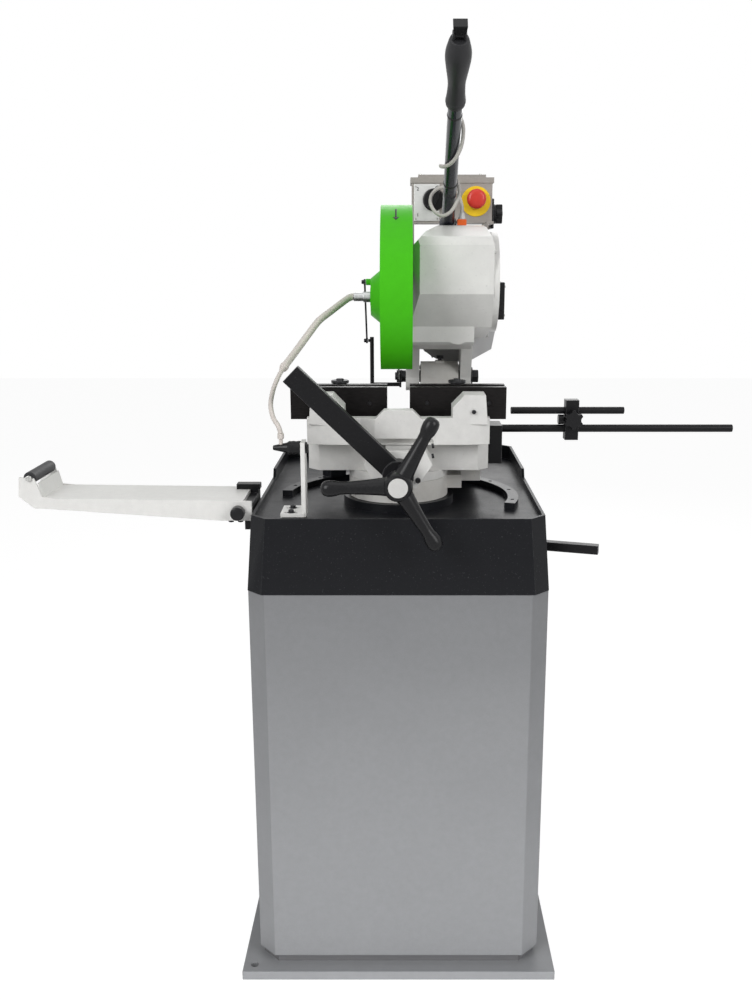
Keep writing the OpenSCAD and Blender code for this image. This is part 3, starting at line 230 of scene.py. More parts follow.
def build_wear_and_highlight(tree, given, spot):
    """Patches along the edges, where a rounded normal leaves the flat one: wear, and on the black
    tray and other dark parts a painted highlight
    """
    rounded = put(tree, "ShaderNodeBevel", {"Radius": given["Width"]}, samples=4).outputs[0]
    flat = tree.nodes.new("ShaderNodeNewGeometry").outputs["Normal"]
    match = put(tree, "ShaderNodeVectorMath", {0: rounded, 1: flat},
                operation="DOT_PRODUCT").outputs["Value"]
    edge = ramp(tree, math_node(tree, "SUBTRACT", 1.0, match), 0.004, 0.09)
    patchy = ramp(tree, noise(tree, spot, given["Scale"], 6.0, Roughness=0.7), 0.38, 0.62)
    return {"Mask": math_node(tree, "MULTIPLY", edge, patchy, True)}


def edge_wear_and_highlight():
    return effect("Edge wear and highlight", [("Width", 0.0012), ("Scale", 120.0)], [("Mask", FLOAT)], build_wear_and_highlight)


def build_smudge(tree, given, spot):
    """Cloudy smudges and small specks"""
    cloud = noise(tree, spot, given["Scale"], 7.0, Roughness=0.6, Distortion=0.6)
    specks = noise(tree, spot, given["Specks"], 2.0)
    return {"Mask": ramp(tree, cloud, 0.36, 0.68), "Specks": ramp(tree, specks, 0.66, 0.74)}


def dust():
    return effect("Dust and smudges", [("Scale", 7.0), ("Specks", 420.0)],
                  [("Mask", FLOAT), ("Specks", FLOAT)], build_smudge)


def build_turned(tree, given, spot):
    """Fine lines that run along the way with the smallest number"""
    squeezed = put(tree, "ShaderNodeCombineXYZ", {
        "X": given["Along X"], "Y": given["Along Y"], "Z": given["Along Z"]}).outputs[0]
    place = put(tree, "ShaderNodeVectorMath", {0: spot, 1: squeezed}, operation="MULTIPLY")
    lines = noise(tree, place.outputs[0], 1.0, 4.0, Roughness=0.6)
    return {"Mask": ramp(tree, lines, 0.3, 0.7),
            "Normal": bumps(tree, lines, given["Strength"], 0.0001)}


def machining():
    return effect("Machining marks", [("Along X", 1500.0), ("Along Y", 60.0), ("Along Z", 60.0),
                                      ("Strength", 0.25)],
                  [("Mask", FLOAT), ("Normal", VECTOR)], build_turned)


def group(tree, maker, **values):
    """Places a shared effect in a material, with the material's own values"""
    made = tree.nodes.new("ShaderNodeGroup")
    made.node_tree = maker()
    for key, value in values.items():
        made.inputs[key.replace("_", " ")].default_value = value
    return made.outputs


def blend_colours(tree, factor, first, second):
    mixed = put(tree, "ShaderNodeMix", {0: factor}, data_type="RGBA")
    for place, value in ((6, first), (7, second)):
        if isinstance(value, bpy.types.NodeSocket):
            tree.links.new(value, mixed.inputs[place])
        else:
            mixed.inputs[place].default_value = tuple(value)[:3] + (1.0,)
    return mixed.outputs[2]


def layer(tree, tone, mask, amount, over):
    """Lays a colour over the tone where the mask is, as strongly as the amount says"""
    return blend_colours(tree, math_node(tree, "MULTIPLY", mask, amount), tone, over)


def shade(base, amount, lift=0.0):
    return tuple(min(1.0, (c + lift) * amount) for c in base)


def fresh(name):
    """A new material with its shader and output only"""
    made = bpy.data.materials.new(name)
    made.use_nodes = True
    tree = made.node_tree
    tree.nodes.clear()
    shader = tree.nodes.new("ShaderNodeBsdfPrincipled")
    out = tree.nodes.new("ShaderNodeOutputMaterial")
    tree.links.new(shader.outputs[0], out.inputs[0])
    return made, tree, shader


def connect(tree, shader, values, links):
    """Sets the plain values of a shader and joins the ones that vary"""
    for key, value in values.items():
        shader.inputs[key].default_value = value
    for key, socket in links.items():
        tree.links.new(socket, shader.inputs[key])


ROUGHEST = 0.95


def paint(name, base, rough=0.42, grain=900.0, peel=0.25, wear_and_highlight=0.25, worn_and_lit_edge=None, specks=0.0,
          coat=0.0, width=0.0012, smudge=0.5, shine=0.4):
    """Sprayed paint or powder coat with peel, smudges, and edges lightened by wear and painted
    highlight
    """
    made, tree, shader = fresh(name)
    skin = group(tree, paint_grain, Scale=grain, Strength=peel)
    dirt = group(tree, dust)
    tone = blend_colours(tree, skin["Mask"], shade(base, 0.93), shade(base, 1.05))
    tone = layer(tree, tone, dirt["Mask"], 0.35 * smudge, shade(base, 0.80))
    if specks:
        tone = layer(tree, tone, dirt["Specks"], specks, shade(base, 3.5, lift=0.02))
    # Lighter edges from the edge mask: wear, and a painted highlight along the edges
    if wear_and_highlight:
        edges = group(tree, edge_wear_and_highlight, Width=width)
        tone = layer(tree, tone, edges["Mask"], wear_and_highlight, worn_and_lit_edge or shade(base, 1.6, lift=0.03))
    level = math_node(tree, "ADD", skin["Mask"], math_node(tree, "MULTIPLY", dirt["Mask"], 0.8))
    connect(tree, shader, {
        "Coat Weight": coat, "Coat Roughness": 0.15, "Specular IOR Level": shine
    }, {
        "Base Color": tone, "Normal": skin["Normal"],
        "Roughness": ramp(tree, level, 0.0, 1.8, rough * 0.82, min(ROUGHEST, rough * 1.3))
    })
    return made


def casting(name, base, rough=0.5, scale=70.0, strength=0.35, wear_and_highlight=0.35, worn_and_lit_edge=None, stain=None,
            depth=0.0008, shine=0.4):
    """Painted casting: lumpy skin, cloudy stains, and edges lightened by wear and painted highlight
    """
    made, tree, shader = fresh(name)
    skin = group(tree, cast_surface, Scale=scale, Strength=strength, Depth=depth)
    dirt = group(tree, dust, Scale=11.0, Specks=260.0)
    edges = group(tree, edge_wear_and_highlight, Width=0.002, Scale=90.0)
    tone = blend_colours(tree, skin["Mask"], shade(base, 0.93), shade(base, 1.04))
    tone = layer(tree, tone, dirt["Mask"], 0.22, stain or shade(base, 0.72))
    tone = layer(tree, tone, dirt["Specks"], 0.25, shade(base, 0.55))
    # Lighter edges from the edge mask: wear, and a painted highlight along the edges
    tone = layer(tree, tone, edges["Mask"], wear_and_highlight, worn_and_lit_edge or shade(base, 1.15))
    connect(tree, shader, {"Specular IOR Level": shine}, {
        "Base Color": tone, "Normal": skin["Normal"],
        "Roughness": ramp(tree, skin["Mask"], 0.0, 1.0, rough * 0.85, min(ROUGHEST, rough * 1.2))
    })
    return made


def metal(name, base, rough=0.32, along=(1500.0, 60.0, 60.0), strength=0.2, dark=0.7):
    """Bare metal with machining marks along one way"""
    made, tree, shader = fresh(name)
    marks = group(tree, machining, Along_X=along[0], Along_Y=along[1], Along_Z=along[2],
                  Strength=strength)
    dirt = group(tree, dust, Scale=25.0)
    edges = group(tree, edge_wear_and_highlight, Width=0.0008, Scale=200.0)
    tone = blend_colours(tree, marks["Mask"], shade(base, dark), base)
    tone = layer(tree, tone, dirt["Mask"], 0.3, shade(base, 0.6))
    # Lighter edges from the edge mask: wear, and a painted highlight along the edges
    tone = layer(tree, tone, edges["Mask"], 0.5, shade(base, 1.3))
    connect(tree, shader, {"Metallic": 1.0}, {
        "Base Color": tone, "Normal": marks["Normal"],
        "Roughness": ramp(tree, marks["Mask"], 0.0, 1.0, rough * 0.75, min(0.9, rough * 1.35))
    })
    return made


def clear_glass(name, base):
    """A level glass over oil"""
    made, tree, shader = fresh(name)
    dirt = group(tree, dust, Scale=60.0)
    connect(tree, shader, {"Transmission Weight": 0.35, "Coat Weight": 1.0}, {
        "Base Color": blend_colours(tree, dirt["Mask"], base, shade(base, 0.7)),
        "Roughness": ramp(tree, dirt["Mask"], 0.0, 1.0, 0.04, 0.12)
    })
    return made


materials = {}


def make_finishes(c):
    """Every finish of the saw, by a plain name"""
    black, cast = tuple(c.black), tuple(c.casting)
    materials.update({
        "cabinet": paint("Grey powder coat", c.cabinet, rough=0.46, peel=0.35, wear_and_highlight=0.2,
                         smudge=0.35),
        # Painted shade for the strip under the cabinet
        "plinth": paint("Dark strip", c.plinth, rough=0.6, wear_and_highlight=0.1),
        # The floor plate is the cabinet's grey made lighter, painted light for its top faces
        "plate": paint("Floor plate paint with painted light", shade(c.cabinet, 1.2), rough=0.5, peel=0.3, wear_and_highlight=0.4,
                       worn_and_lit_edge=(0.45, 0.455, 0.46)),
        # The tray's pale edge tone is painted highlight on its rim as well as wear
        "tray": paint("Tray texture", c.tray, rough=0.36, shine=0.12, grain=620.0, peel=0.7,
                      wear_and_highlight=0.55, worn_and_lit_edge=(0.10, 0.105, 0.11), specks=0.35, width=0.0016),
        "track": paint("Black ring enamel", shade(c.tray, 1.1), rough=0.3, shine=0.16, grain=500.0,
                       peel=0.35, wear_and_highlight=0.6, worn_and_lit_edge=(0.14, 0.145, 0.15), specks=0.4),
        "vice": casting("Vice enamel", cast, rough=0.42, scale=55.0, strength=0.4, wear_and_highlight=0.3),
        "head": casting("Gear case enamel", cast, rough=0.38, scale=26.0, strength=0.12, wear_and_highlight=0.25,
                        stain=shade(cast, 0.82)),
        "post": casting("Post enamel", shade(cast, 0.94), rough=0.45, scale=60.0, strength=0.5,
                        stain=(0.42, 0.36, 0.27)),
        "sheet": paint("Off-white sheet", shade(cast, 1.06), rough=0.4, peel=0.18, wear_and_highlight=0.3,
                       worn_and_lit_edge=(0.45, 0.44, 0.42)),
        "guard": paint("Green guard paint", c.guard, rough=0.4, peel=0.12, wear_and_highlight=0.35,
                       worn_and_lit_edge=(0.10, 0.60, 0.04), smudge=0.25, shine=0.15),
        "motor": casting("Motor paint", c.motor, rough=0.42, scale=40.0, strength=0.12, wear_and_highlight=0.2),
        "box": casting("Box hammer grey", c.box, rough=0.48, scale=180.0, strength=0.22, wear_and_highlight=0.25,
                       depth=0.0004),
        "black_paint": paint("Black lever paint", black, rough=0.36, shine=0.16, grain=700.0,
                             peel=0.4, wear_and_highlight=0.75, worn_and_lit_edge=(0.17, 0.17, 0.175), specks=0.2,
                             width=0.0016),
        "black_cast": casting("Black casting", black, rough=0.32, shine=0.2, scale=90.0,
                              worn_and_lit_edge=(0.09, 0.09, 0.095)),
        "black_oxide": metal("Black oxide", (0.05, 0.05, 0.053), rough=0.42,
                             along=(60.0, 60.0, 900.0)),
        "jaw": metal("Blued jaw steel", (0.022, 0.0205, 0.0205), rough=0.40,
                     along=(90.0, 90.0, 700.0), dark=0.6),
        "plastic": paint("Moulded black", black, rough=0.27, shine=0.22, grain=1600.0, peel=0.15,
                         worn_and_lit_edge=(0.045, 0.045, 0.05)),
        "grip": paint("Grip skin", (0.014, 0.014, 0.016), rough=0.5, grain=1300.0, peel=0.5,
                      wear_and_highlight=0.15),
        "tube": paint("Handle enamel", (0.013, 0.015, 0.023), rough=0.25, peel=0.08, wear_and_highlight=0.3,
                      coat=0.5),
        "hose": paint("Hose skin", c.hose, rough=0.45, grain=300.0, peel=0.1, wear_and_highlight=0.0, coat=0.2),
        "cable": paint("Cable sheath", c.cable, rough=0.5, grain=700.0, peel=0.15, wear_and_highlight=0.0),
        "red": paint("Red button", c.red, rough=0.35, peel=0.08, wear_and_highlight=0.2, coat=0.15, grain=1200.0,
                     shine=0.3),
        "yellow": paint("Yellow disc", c.yellow, rough=0.45, peel=0.05, wear_and_highlight=0.1, grain=1200.0,
                        shine=0.2),
        "orange": paint("Orange nut", (0.82, 0.13, 0.015), rough=0.38, peel=0.1, wear_and_highlight=0.15),
        "clear": paint("Pale connector", (0.58, 0.58, 0.57), rough=0.2, peel=0.05, wear_and_highlight=0.1,
                       coat=0.6),
        "dial": metal("Satin dial plate", (0.62, 0.62, 0.61), rough=0.42,
                      along=(70.0, 70.0, 1400.0), strength=0.1, dark=0.88),
        "ink": paint("Printed black", (0.01, 0.01, 0.01), rough=0.5, peel=0.05, wear_and_highlight=0.0,
                     grain=1500.0),
        "steel": metal("Machined steel", c.steel),
        "blade": metal("Ground blade steel", shade(c.steel, 0.95), rough=0.25,
                       along=(200.0, 800.0, 800.0)),
        "spring": metal("Spring steel", shade(c.steel, 0.7), rough=0.35,
                        along=(700.0, 700.0, 900.0)),
        "bronze": metal("Bronze", c.bronze, rough=0.35, along=(900.0, 90.0, 90.0)),
        "brass": metal("Brass rim", (0.68, 0.47, 0.16), rough=0.28, along=(600.0, 90.0, 90.0)),
        "oil": clear_glass("Oil glass", (0.75, 0.42, 0.04)),
        "cap": paint("Pale cap", (0.62, 0.615, 0.60), rough=0.5, peel=0.15, wear_and_highlight=0.3,
                     worn_and_lit_edge=(0.4, 0.4, 0.4)),
        "zinc": metal("Bright screws", (0.60, 0.60, 0.58), rough=0.3, along=(400.0, 400.0, 400.0)),
    })


# The finish of every solid, also of those that a finer piece stands for

CARRIED = {
    "cabinet": "base_plate cabinet cabinet_door",
    "tray": "tray",
    "track": "swivel_track",
    "steel": "pivot_column vice_screw bearings spindle motor_shaft coolant_tank",
    "vice": "vice_body front_carrier rear_carrier",
    "post": "swivel_arm",
    "black_paint": "stop_bracket stop_rod stop_block stop_finger arm_mount lock_lever clamp_lever "
                   "guard_rod",
    "plastic": "stop_knob stop_side_knob coolant_tap arm_knob door_handle trigger terminal_box "
               "fan_cover selector_knob isolator_knob",
    "sheet": "tap_bracket roller_arm",
    "grip": "roller handle_grip",
    "black_cast": "handwheel coolant_pump",
    "black_oxide": "frame_screws jaw_knobs pivot_pin guard_link",
    "jaw": "front_jaws rear_jaws",
    "spring": "head_spring",
    "head": "gear_case gear_cover",
    "blade": "blade",
    "bronze": "worm_wheel",
    "motor": "motor_housing",
    "guard": "fixed_guard moving_guard",
    "tube": "handle_tube",
    "box": "control_box",
    "dial": "box_plates",
    "red": "estop_button",
    "brass": "case_fittings",
    "hose": "coolant_hose",
    "cable": "control_cable",
}


# Shaping helpers

# Edges sharper than the first are shaded as edges, in radians; sharper than the second, in
# degrees, they are rounded where a piece says nothing else
FLAT_ANGLE = math.radians(33)
SHARP_ANGLE = 30


def finish(shape, name, finishes, body, stands_for=(), weigh=True, outward=True):
    """Turns a bmesh into a piece of the saw that moves with its body"""
    if outward:
        bmesh.ops.recalc_face_normals(shape, faces=shape.faces)
    mesh = bpy.data.meshes.new(name)
    shape.to_mesh(mesh)
    shape.free()
    mesh.shade_smooth()
    mesh.set_sharp_from_angle(angle=FLAT_ANGLE)
    piece = bpy.data.objects.new(name, mesh)
    bpy.context.scene.collection.objects.link(piece)
    for finish_name in ([finishes] if isinstance(finishes, str) else finishes):
        mesh.materials.append(materials[finish_name])
    if weigh:
        even = piece.modifiers.new("Even shading", "WEIGHTED_NORMAL")
        even.keep_sharp = True
    if body:
        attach(piece, body)
    if stands_for:
        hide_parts(*([stands_for] if isinstance(stands_for, str) else stands_for))
    return piece


def ease(shape, width, angle=SHARP_ANGLE, segments=2, only=None):
    """Rounds every edge sharper than an angle, or only the ones asked for"""
    sharp = [e for e in shape.edges if len(e.link_faces) == 2
             and e.calc_face_angle(0.0) > math.radians(angle) and (only is None or only(e))]
    if sharp:
        bmesh.ops.bevel(shape, geom=sharp, offset=width, offset_type="OFFSET", affect="EDGES",
                        segments=segments, profile=0.5, material=-1, clamp_overlap=True,
                        loop_slide=True)
    return shape


def cad_copy(node):
    """The solid of a node as a clean shape of flat faces"""
    shape = bmesh.new()
    shape.from_mesh(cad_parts[node].data)
    bmesh.ops.remove_doubles(shape, verts=shape.verts, dist=2e-6)
    bmesh.ops.dissolve_limit(shape, angle_limit=math.radians(0.7), verts=shape.verts,
                             edges=shape.edges, use_dissolve_boundaries=False,
                             delimit={"NORMAL"})
    return shape


def eased(node, name, finishes, body, width, segments=2, angle=SHARP_ANGLE, only=None,
          paint_by=None):
    """The node's own shape with rounded edges"""
    shape = ease(cad_copy(node), width, angle, segments, only)
    if paint_by:
        for face in shape.faces:
            face.material_index = paint_by(face)
    return finish(shape, name, finishes, body, node, outward=False)


def block(low, high, width):
    """A box between two corners in millimetres, with rounded edges"""
    low, high = Vector(low) * MM, Vector(high) * MM
    shape = bmesh.new()
    bmesh.ops.create_cube(shape, size=1.0, matrix=Matrix.Translation((low + high) / 2)
                          @ Matrix.Diagonal((*(high - low), 1.0)))
    return ease(shape, width * MM)


def axes(direction):
    """A turn that lays local Z along a direction"""
    z = Vector(direction).normalized()
    x = Vector(UP).cross(z)
    if x.length < 1e-6:
        x = Vector(RIGHT).cross(z)
    x.normalize()
    return Matrix((x, z.cross(x), z)).transposed().to_4x4()


def facing(direction, up):
    """A turn that lays local Z along a direction and local Y towards up"""
    z = Vector(direction).normalized()
    y = (Vector(up) - z * Vector(up).dot(z)).normalized()
    return Matrix((y.cross(z), y, z)).transposed().to_4x4()


def settle(shape, place, turn):
    """Moves a shape made at the origin to its place in millimetres"""
    bmesh.ops.transform(shape, verts=shape.verts,
                        matrix=Matrix.Translation(Vector(place) * MM) @ turn)
    return shape


def rod(radius, low, high):
    """The profile of a plain round bar"""
    return [(0, low), (radius, low), (radius, high), (0, high)]


def turned(profile, place, direction=UP, steps=48):
    """A lathe shape: profile of (radius, height) in millimetres, spun round an axis"""
    shape = bmesh.new()
    row = [shape.verts.new((r * MM, 0, h * MM)) for r, h in profile]
    line = [shape.edges.new(pair) for pair in zip(row, row[1:])]
    bmesh.ops.spin(shape, geom=row + line, cent=(0, 0, 0), axis=UP, dvec=(0, 0, 0),
                   angle=math.tau, steps=steps, use_merge=True, use_duplicate=False)
    bmesh.ops.remove_doubles(shape, verts=shape.verts, dist=1e-6)
    bmesh.ops.recalc_face_normals(shape, faces=shape.faces)
    return settle(shape, place, axes(direction))


def outline(points, depth, place, direction, up, width=0.0, segments=2):
    """A flat outline in millimetres, pushed out along a direction"""
    shape = bmesh.new()
    face = shape.faces.new([shape.verts.new((x * MM, y * MM, 0)) for x, y in points])
    pushed = bmesh.ops.extrude_face_region(shape, geom=[face])
    moved = [v for v in pushed["geom"] if isinstance(v, bmesh.types.BMVert)]
    bmesh.ops.translate(shape, verts=moved, vec=(0, 0, depth * MM))
    bmesh.ops.recalc_face_normals(shape, faces=shape.faces)
    if width:
        ease(shape, width * MM, segments=segments)
    return settle(shape, place, facing(direction, up))


def join(*shapes):
    """One shape that holds the faces of all the others"""
    whole = shapes[0]
    for other in shapes[1:]:
        spare = bpy.data.meshes.new("spare")
        other.to_mesh(spare)
        other.free()
        whole.from_mesh(spare)
        bpy.data.meshes.remove(spare)
    return whole


def tint(shape, index):
    """Gives every face of a shape one of the piece's finishes"""
    for face in shape.faces:
        face.material_index = index
    return shape


PATH_STEPS = 6      # points on the curve for each point of a route


def smooth_path(points):
    """The curve through the points, as the solids follow it"""
    path = []
    p = [Vector(q) for q in points]
    for i in range(len(p) - 1):
        a, b, c, d = p[max(i - 1, 0)], p[i], p[i + 1], p[min(i + 2, len(p) - 1)]
        for k in range(PATH_STEPS):
            t = k / PATH_STEPS
            path.append(0.5 * (2 * b + (c - a) * t + (2 * a - 5 * b + 4 * c - d) * t * t
                               + (3 * b - a - 3 * c + d) * t ** 3))
    return path + [p[-1]]


def hose_shape(path, radius, sides=16):
    """A round tube along a path in metres, closed at both ends"""
    shape = bmesh.new()
    side = before = None
    for i, spot in enumerate(path):
        along = (path[min(i + 1, len(path) - 1)] - path[max(i - 1, 0)]).normalized()
        side = side if side is not None else along.orthogonal()
        side = (side - along * side.dot(along)).normalized()
        turn = Matrix((side, along.cross(side), along)).transposed().to_4x4()
        made = bmesh.ops.create_circle(shape, cap_ends=i in (0, len(path) - 1), radius=radius,
                                       segments=sides, matrix=Matrix.Translation(spot) @ turn)
        edges = list({e for v in made["verts"] for e in v.link_edges})
        if before:
            bmesh.ops.bridge_loops(shape, edges=before + edges)
        before = edges
    bmesh.ops.recalc_face_normals(shape, faces=shape.faces)
    return shape


def socket_screw(place, direction, radius, height):
    """The head of a socket screw, with its round recess"""
    head = turned([(0, 0), (radius, 0), (radius, height - 0.6), (radius - 0.6, height),
                   (radius * 0.62, height), (radius * 0.55, height - 0.4)], (0, 0, 0), steps=24)
    rim = [e for e in head.edges if e.is_boundary]
    floor = bmesh.ops.holes_fill(head, edges=rim, sides=0)["faces"]
    if floor:
        bmesh.ops.inset_region(head, faces=floor, thickness=radius * 0.04 * MM)
        bmesh.ops.translate(head, verts=list({v for f in floor for v in f.verts}),
                            vec=(0, 0, -height * 0.55 * MM))
    return settle(head, place, axes(direction))


WASHER_THICKNESS = 1.5


def hex_head(place, direction, across, height, washer=0.0):
    """A six-sided bolt head, on a washer where it has one"""
    radius = across / 2 / math.cos(math.pi / 6)
    points = [(radius * math.cos(math.pi / 3 * i), radius * math.sin(math.pi / 3 * i))
              for i in range(6)]
    up = RIGHT if abs(Vector(direction).x) < 0.9 else UP
    lift = WASHER_THICKNESS if washer else 0.0
    start = Vector(place) + Vector(direction).normalized() * lift
    bolt = outline(points, height, start, direction, up, width=0.8)
    if washer:
        bolt = join(bolt, turned([(0, 0), (washer, 0), (washer, WASHER_THICKNESS - 0.3),
                                  (washer - 0.3, WASHER_THICKNESS), (0, WASHER_THICKNESS)],
                                 place, direction, 32))
    return bolt


def fasten(name, heads, body, finish_name="black_oxide"):
    """One piece that holds a set of screw heads, bolts or nuts"""
    finish(join(*heads), name, finish_name, body)


def digits(text, place, height, name, body):
    """Raised generic characters on a plate that faces the front"""
    made = bpy.data.curves.new(name, "FONT")
    made.body = text
    made.size = height
    made.extrude = 0.00012
    made.offset = 0.0002
    made.align_x = "CENTER"
    made.align_y = "CENTER"
    holder = bpy.data.objects.new(name + " outline", made)
    bpy.context.scene.collection.objects.link(holder)
    bpy.context.view_layer.update()
    mesh = bpy.data.meshes.new_from_object(holder)
    bpy.data.objects.remove(holder)
    mesh.transform(Matrix.Translation(Vector(place) * MM) @ facing(FRONT, UP))
    mesh.name = name
    mesh.materials.clear()
    mesh.materials.append(materials["ink"])
    piece = bpy.data.objects.new(name, mesh)
    bpy.context.scene.collection.objects.link(piece)
    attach(piece, body)


# The pieces

def sizes():
    return bpy.context.scene.saw_sizes


class SAW_OT_camera(bpy.types.Operator):
    """Set the camera where a photographer of the front view stands"""
    bl_idname = "saw.camera"
    bl_label = "Camera"

    def execute(self, context):
        lens = bpy.data.cameras.new("Front view")
        lens.sensor_fit = "VERTICAL"
        lens.sensor_height = 36.0
        lens.lens = 36.97
        lens.shift_x = -0.0262
        lens.clip_end = 50.0
        camera = bpy.data.objects.new("Front view", lens)
        camera.location = (0.0066, -1.925, 1.2647)
        camera.rotation_euler = (math.radians(76.63), 0, 0)
        context.scene.collection.objects.link(camera)
        context.scene.camera = camera
        context.scene.view_settings.view_transform = "Standard"
        return {"FINISHED"}


# The middle line of the hose, in millimetres, and the point on it where the thin hose begins
HOSE_ROUTE = [
    (-84, 35, 1190), (-87, 35, 1190), (-95, 31, 1187), (-108, 19, 1178), (-126, 1, 1164.5),
    (-146, -19, 1149), (-163, -44, 1127), (-178, -74, 1106), (-190, -108, 1089),
    (-199, -142, 1076), (-205, -176, 1063), (-210, -208, 1045), (-211, -236, 1025),
    (-205, -256, 1007), (-196, -266, 995), (-192, -268, 983)]
HOSE_JOINT = 9


class SAW_OT_coolant_hose(bpy.types.Operator):
    """Lay the coolant hose from the hub of the guard down to the tap"""
    bl_idname = "saw.coolant_hose"
    bl_label = "Coolant hose"

    def execute(self, context):
        radius = sizes().hose_diameter / 2
        path = [p * MM for p in smooth_path(HOSE_ROUTE)]
        half = HOSE_JOINT * PATH_STEPS
        upper, lower = path[:half + 1], path[half:]
        along = (path[half + 1] - path[half - 1]).normalized()
        sleeve = turned([(3.9, 9), (4.6, 9), (5.0, 8.4), (5.3, 2), (7.0, 1), (7.3, 0), (7.3, -9),
                         (6.9, -9.6), (6.3, -9.6), (6.3, -0.4), (3.9, 0), (3.9, 9)],
                        path[half] / MM, along, 28)
        for h in (-7.0, -3.5):
            bead = [(7.2, h - 1), (7.7, h - 0.5), (7.7, h + 0.5), (7.2, h + 1)]
            sleeve = join(sleeve, turned(bead, path[half] / MM, along, 28))
        sleeve = finish(sleeve, "hose_sleeve", "hose", "swivel")
        top = finish(hose_shape(upper, radius), "hose_upper", "hose", None,
                     "coolant_hose", weigh=False)
        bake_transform(top)
        thin = sizes().thin_hose_diameter / 2
        foot = finish(hose_shape(lower, thin), "hose_lower", "hose", None,
                      "coolant_hose", weigh=False)
        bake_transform(foot)
        return {"FINISHED"}


# The handle tube: its foot in millimetres and how far it leans forward
TUBE_FOOT, TUBE_LEAN = Vector((95.5, 150, 1322)), math.radians(53)
ALONG_TUBE = Vector((0, -math.sin(TUBE_LEAN), math.cos(TUBE_LEAN)))
ACROSS_TUBE = Vector((0, math.cos(TUBE_LEAN), math.sin(TUBE_LEAN)))
# The control cable: beside the tube as (distance up it, degrees round it, distance out), and then
# its loop to the plug in millimetres
CABLE_ROUTE = [
    (310.5, 84, 16.3), (292, 80, 16.3), (276, 58, 16.5), (263, 26, 16.8), (248, -4, 17),
    (227, -36, 17.5), (207, -72, 18), (190, -108, 18), (176, -150, 19), (162, -195, 20),
    (146, -235, 20), (128, -280, 19), (110, -325, 18), (92, -355, 18)]
LOOP_ROUTE = [
    (108, 72, 1362), (97, 68, 1345), (82, 73, 1338), (68, 84, 1346), (60, 97, 1363),
    (64, 112, 1380), (78, 124, 1391), (98, 132, 1391), (114, 136, 1381), (122, 137, 1358),
    (122, 137, 1350)]
PLUG = Vector((122, 137, 1322))
CABLE_TIES = (291, 80, 16.3), (122, -295, 18.7)
TIE_HALF_WIDTH = 2.4


def beside_tube(along, angle, reach):
    """A point beside the handle tube: how far up it, at what angle round it, how far out"""
    a = math.radians(angle)
    return (TUBE_FOOT + along * ALONG_TUBE
            + reach * (math.cos(a) * Vector(RIGHT) + math.sin(a) * ACROSS_TUBE))


class SAW_OT_control_cable(bpy.types.Operator):
    """Wind the control cable round the handle tube and loop it to its plug"""
    bl_idname = "saw.control_cable"
    bl_label = "Control cable"

    def execute(self, context):
        route = [beside_tube(*p) for p in CABLE_ROUTE] + [Vector(p) for p in LOOP_ROUTE]
        path = [p * MM for p in smooth_path(route)] + [mm(PLUG.x, PLUG.y, 1346.2)]
        finish(hose_shape(path, sizes().cable_diameter / 2, 14), "cable_sheath", "cable", "head",
               "control_cable", weigh=False)
        for along, side, reach in CABLE_TIES:
            centre = TUBE_FOOT + along * ALONG_TUBE
            toward = (beside_tube(along, side, reach) - centre).normalized()
            loop = [centre + toward * x + ALONG_TUBE.cross(toward) * y for x, y in
                    [(-13.4, 0), (-9.6, 9.6), (0, 13.4), (9, 10.6), (reach + 0.4, 4.4),
                     (reach + 4.6, 0), (reach + 0.4, -4.4), (9, -10.6), (0, -13.4), (-9.6, -9.6)]]
            band = bmesh.new()
            line = [band.verts.new((p - ALONG_TUBE * TIE_HALF_WIDTH) * MM) for p in loop]
            edges = [band.edges.new(pair) for pair in zip(line, line[1:] + line[:1])]
            grown = bmesh.ops.extrude_edge_only(band, edges=edges)["geom"]
            bmesh.ops.translate(band, vec=ALONG_TUBE * 2 * TIE_HALF_WIDTH * MM,
                                verts=[v for v in grown if isinstance(v, bmesh.types.BMVert)])
            strap = finish(band, "cable_tie_%d" % along, "ink", "head",
                           weigh=False)
            thick = strap.modifiers.new("Strap thickness", "SOLIDIFY")
            thick.thickness, thick.offset = 0.0011, 1.0
            round_off = strap.modifiers.new("Strap roundness", "SUBSURF")
            round_off.levels = round_off.render_levels = 2
        return {"FINISHED"}


class SAW_OT_carried_parts(bpy.types.Operator):
    """Give every solid of the saw its own finish"""
    bl_idname = "saw.carried_parts"
    bl_label = "Finishes of the solids"

    def execute(self, context):
        for finish_name, nodes in CARRIED.items():
            for node in nodes.split():
                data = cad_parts[node].data
                if not data.materials:
                    data.materials.append(materials[finish_name])
                for i in range(len(data.materials)):
                    data.materials[i] = materials[finish_name]
        return {"FINISHED"}


class SAW_OT_cabinet(bpy.types.Operator):
    """Fold the cabinet on its floor plate, with the door in its back"""
    bl_idname = "saw.cabinet"
    bl_label = "Cabinet and floor plate"

    def execute(self, context):
        edge = sizes().sheet_edge
        eased("base_plate", "floor_plate", "plate", "base", edge)
        # The faces of the bottom strip get the dark finish, a painted shade under the cabinet
        strip_top = corners("cabinet")[0].z + 14
        eased("cabinet", "cabinet_shell", ["cabinet", "plinth"], "base",
              edge * 1.5, 3, angle=20, only=lambda e: min(v.co.z for v in e.verts) / MM > strip_top,
              paint_by=lambda face: int(face.calc_center_median().z / MM < strip_top + 0.6))
        eased("cabinet_door", "rear_door", "cabinet", "door", 0.0006)
        eased("door_handle", "rear_latch", "plastic", "latch", 0.0009)
        y = corners("cabinet_door")[1].y - 6.0
        screws = [socket_screw((x, y, z), BACK, 3.5, 2.5) for x in (-180, 180) for z in (116, 604)]
        fasten("door_screws", screws, "door", "zinc")
        return {"FINISHED"}


